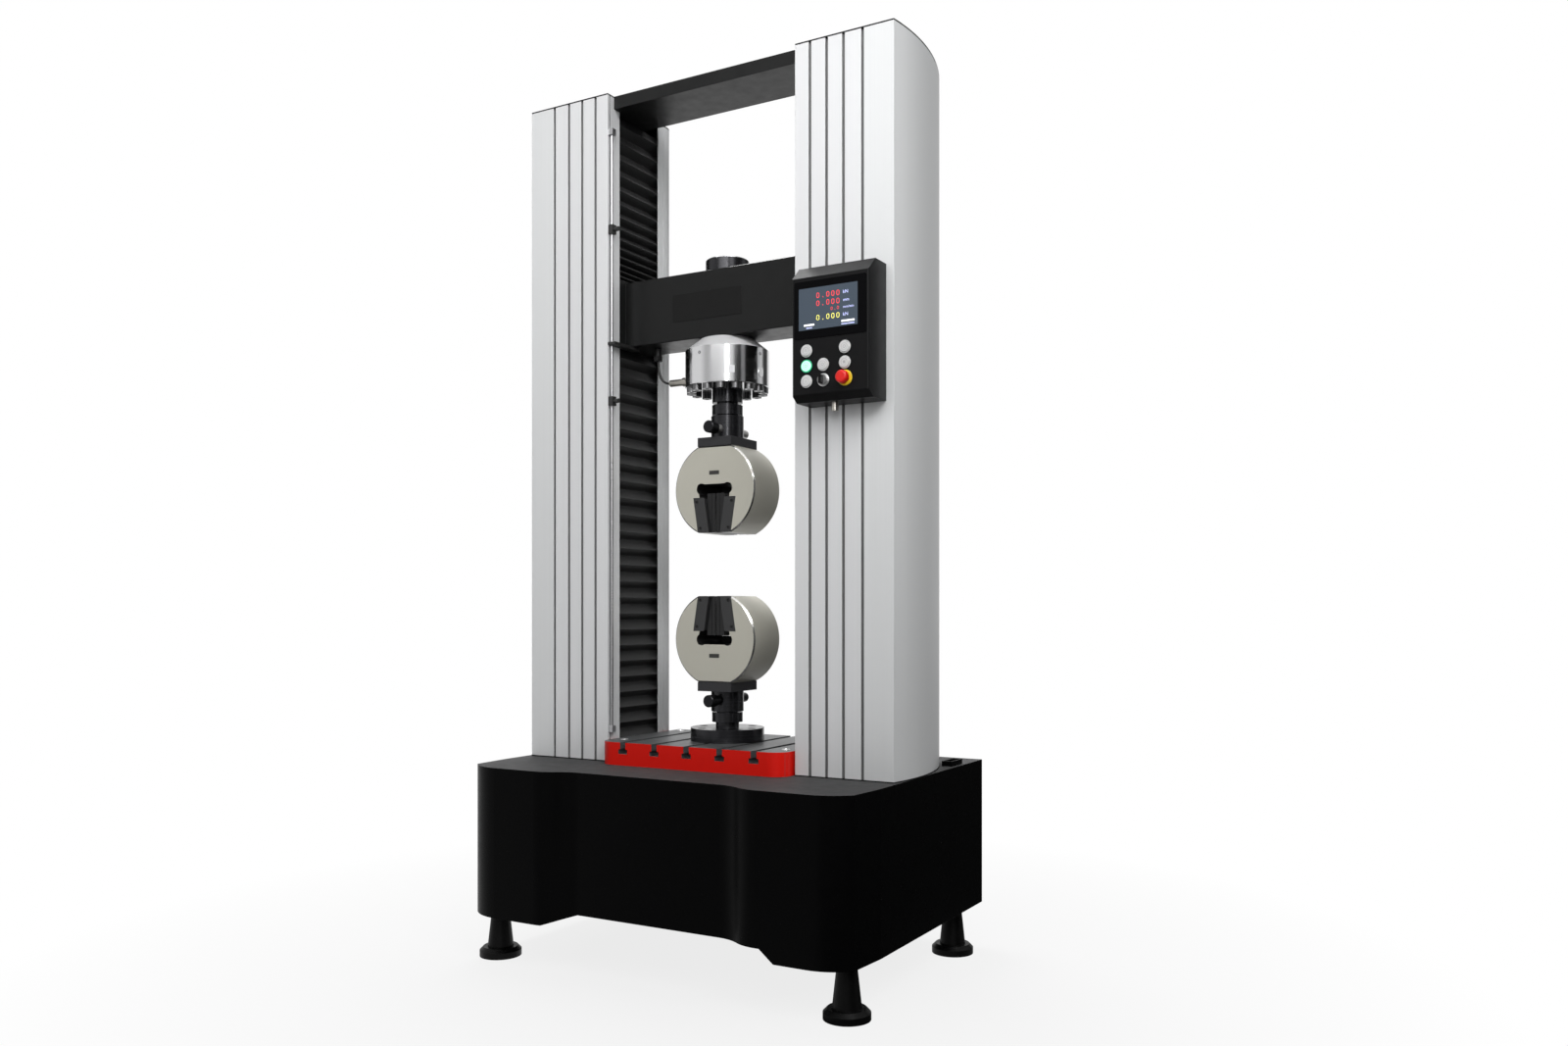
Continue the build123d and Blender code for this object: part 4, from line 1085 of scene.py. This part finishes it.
def rays(tree):
    """One for rays that show a backdrop itself, and one for rays that mirror it."""
    path = node(tree, "LightPath")
    direct = sums("MAXIMUM", path.outputs["Is Camera Ray"], path.outputs["Is Transmission Ray"])
    return direct, path.outputs["Is Glossy Ray"]


def layered(base, *layers):
    """Shaders laid over a first one, each by its own amount."""
    result = base.outputs[0]
    for amount, cover in layers:
        mix = node(amount.id_data, "MixShader")
        for socket, source in zip(mix.inputs, (amount, result, cover.outputs[0])):
            feed(socket, source)
        result = mix.outputs[0]
    return result


def bare_tree(data):
    """The emptied node tree of a material or a world."""
    data.use_nodes = True
    data.node_tree.nodes.clear()
    return data.node_tree


def floor_finish(settings):
    """Pale matt floor that keeps the shadow near the machine and runs into white further out."""
    material = bpy.data.materials.new("pale floor")
    tree = bare_tree(material)
    matt = node(tree, "BsdfDiffuse", Color=settings.floor)
    white = node(tree, "Emission", Color=WHITE, Strength=1.0)
    glow = mixed(along(tree, "X", 0.4, 0.7), room_glow(tree, "Object"), (0.03, 0.03, 0.03))
    mirrored = node(tree, "Emission", Color=glow, Strength=1.0)
    direct, glossy = rays(tree)
    distance = node(tree, "VectorMath")
    distance.operation = "LENGTH"
    feed(distance.inputs[0], node(tree, "TexCoord").outputs["Object"])
    away = spread(distance.outputs["Value"], 0.82, 1.0, 0.4, 2.0)
    result = layered(matt, (product(direct, away), white), (glossy, mirrored))
    node(tree, "OutputMaterial", Surface=result)
    return material


def light_world(scene, settings):
    """White backdrop, a room with light and dark sides in reflections, and soft light on the machine."""
    scene.world = bpy.data.worlds.new("studio")
    tree = bare_tree(scene.world)
    overhead = spread(component(tree, "Z", "Generated"), 0.0, 0.9, 0.4, 0.8)
    room = mixed(overhead, room_glow(tree, "Generated"), WHITE)
    soft, mirrored, backdrop = (
        node(tree, "Background", Color=tone, Strength=strength)
        for tone, strength in ((WHITE, settings.ambient), (room, 1.0), (WHITE, 1.0)))
    direct, glossy = rays(tree)
    node(tree, "OutputWorld", Surface=layered(soft, (glossy, mirrored), (direct, backdrop)))


operators = (MACHINE_OT_finishes, MACHINE_OT_bellows, MACHINE_OT_cable, MACHINE_OT_display,
             MACHINE_OT_controls, MACHINE_OT_fasteners, MACHINE_OT_plates, MACHINE_OT_shadow_strips,
             MACHINE_OT_stage)
groups = {"machine_finishes": MachineFinishes, "machine_bellows": MachineBellows,
          "machine_cable": MachineCable, "machine_display": MachineDisplay,
          "machine_fasteners": MachineFasteners, "machine_stage": MachineStage}


class MACHINE_PT_dressing(bpy.types.Panel):
    """Settings and steps of the dressing"""
    bl_idname = "MACHINE_PT_dressing"
    bl_label = "Testing Machine"
    bl_space_type = "VIEW_3D"
    bl_region_type = "UI"
    bl_category = "Testing Machine"

    def draw(self, context):
        for name, group in groups.items():
            box = self.layout.box()
            box.label(text=group.__doc__)
            for setting in group.__annotations__:
                box.prop(getattr(context.scene, name), setting)
        for operator in operators:
            self.layout.operator(operator.bl_idname)


def register():
    for made in (*groups.values(), *operators, MACHINE_PT_dressing):
        bpy.utils.register_class(made)
    for name, group in groups.items():
        setattr(bpy.types.Scene, name, PointerProperty(type=group))


def unregister():
    for name in groups:
        delattr(bpy.types.Scene, name)
    for made in (MACHINE_PT_dressing, *reversed(operators), *reversed(groups.values())):
        bpy.utils.unregister_class(made)


def main():
    register()
    for operator in operators:
        getattr(bpy.ops.machine, operator.bl_idname.split(".")[1])()


if __name__ == "__main__":
    main()
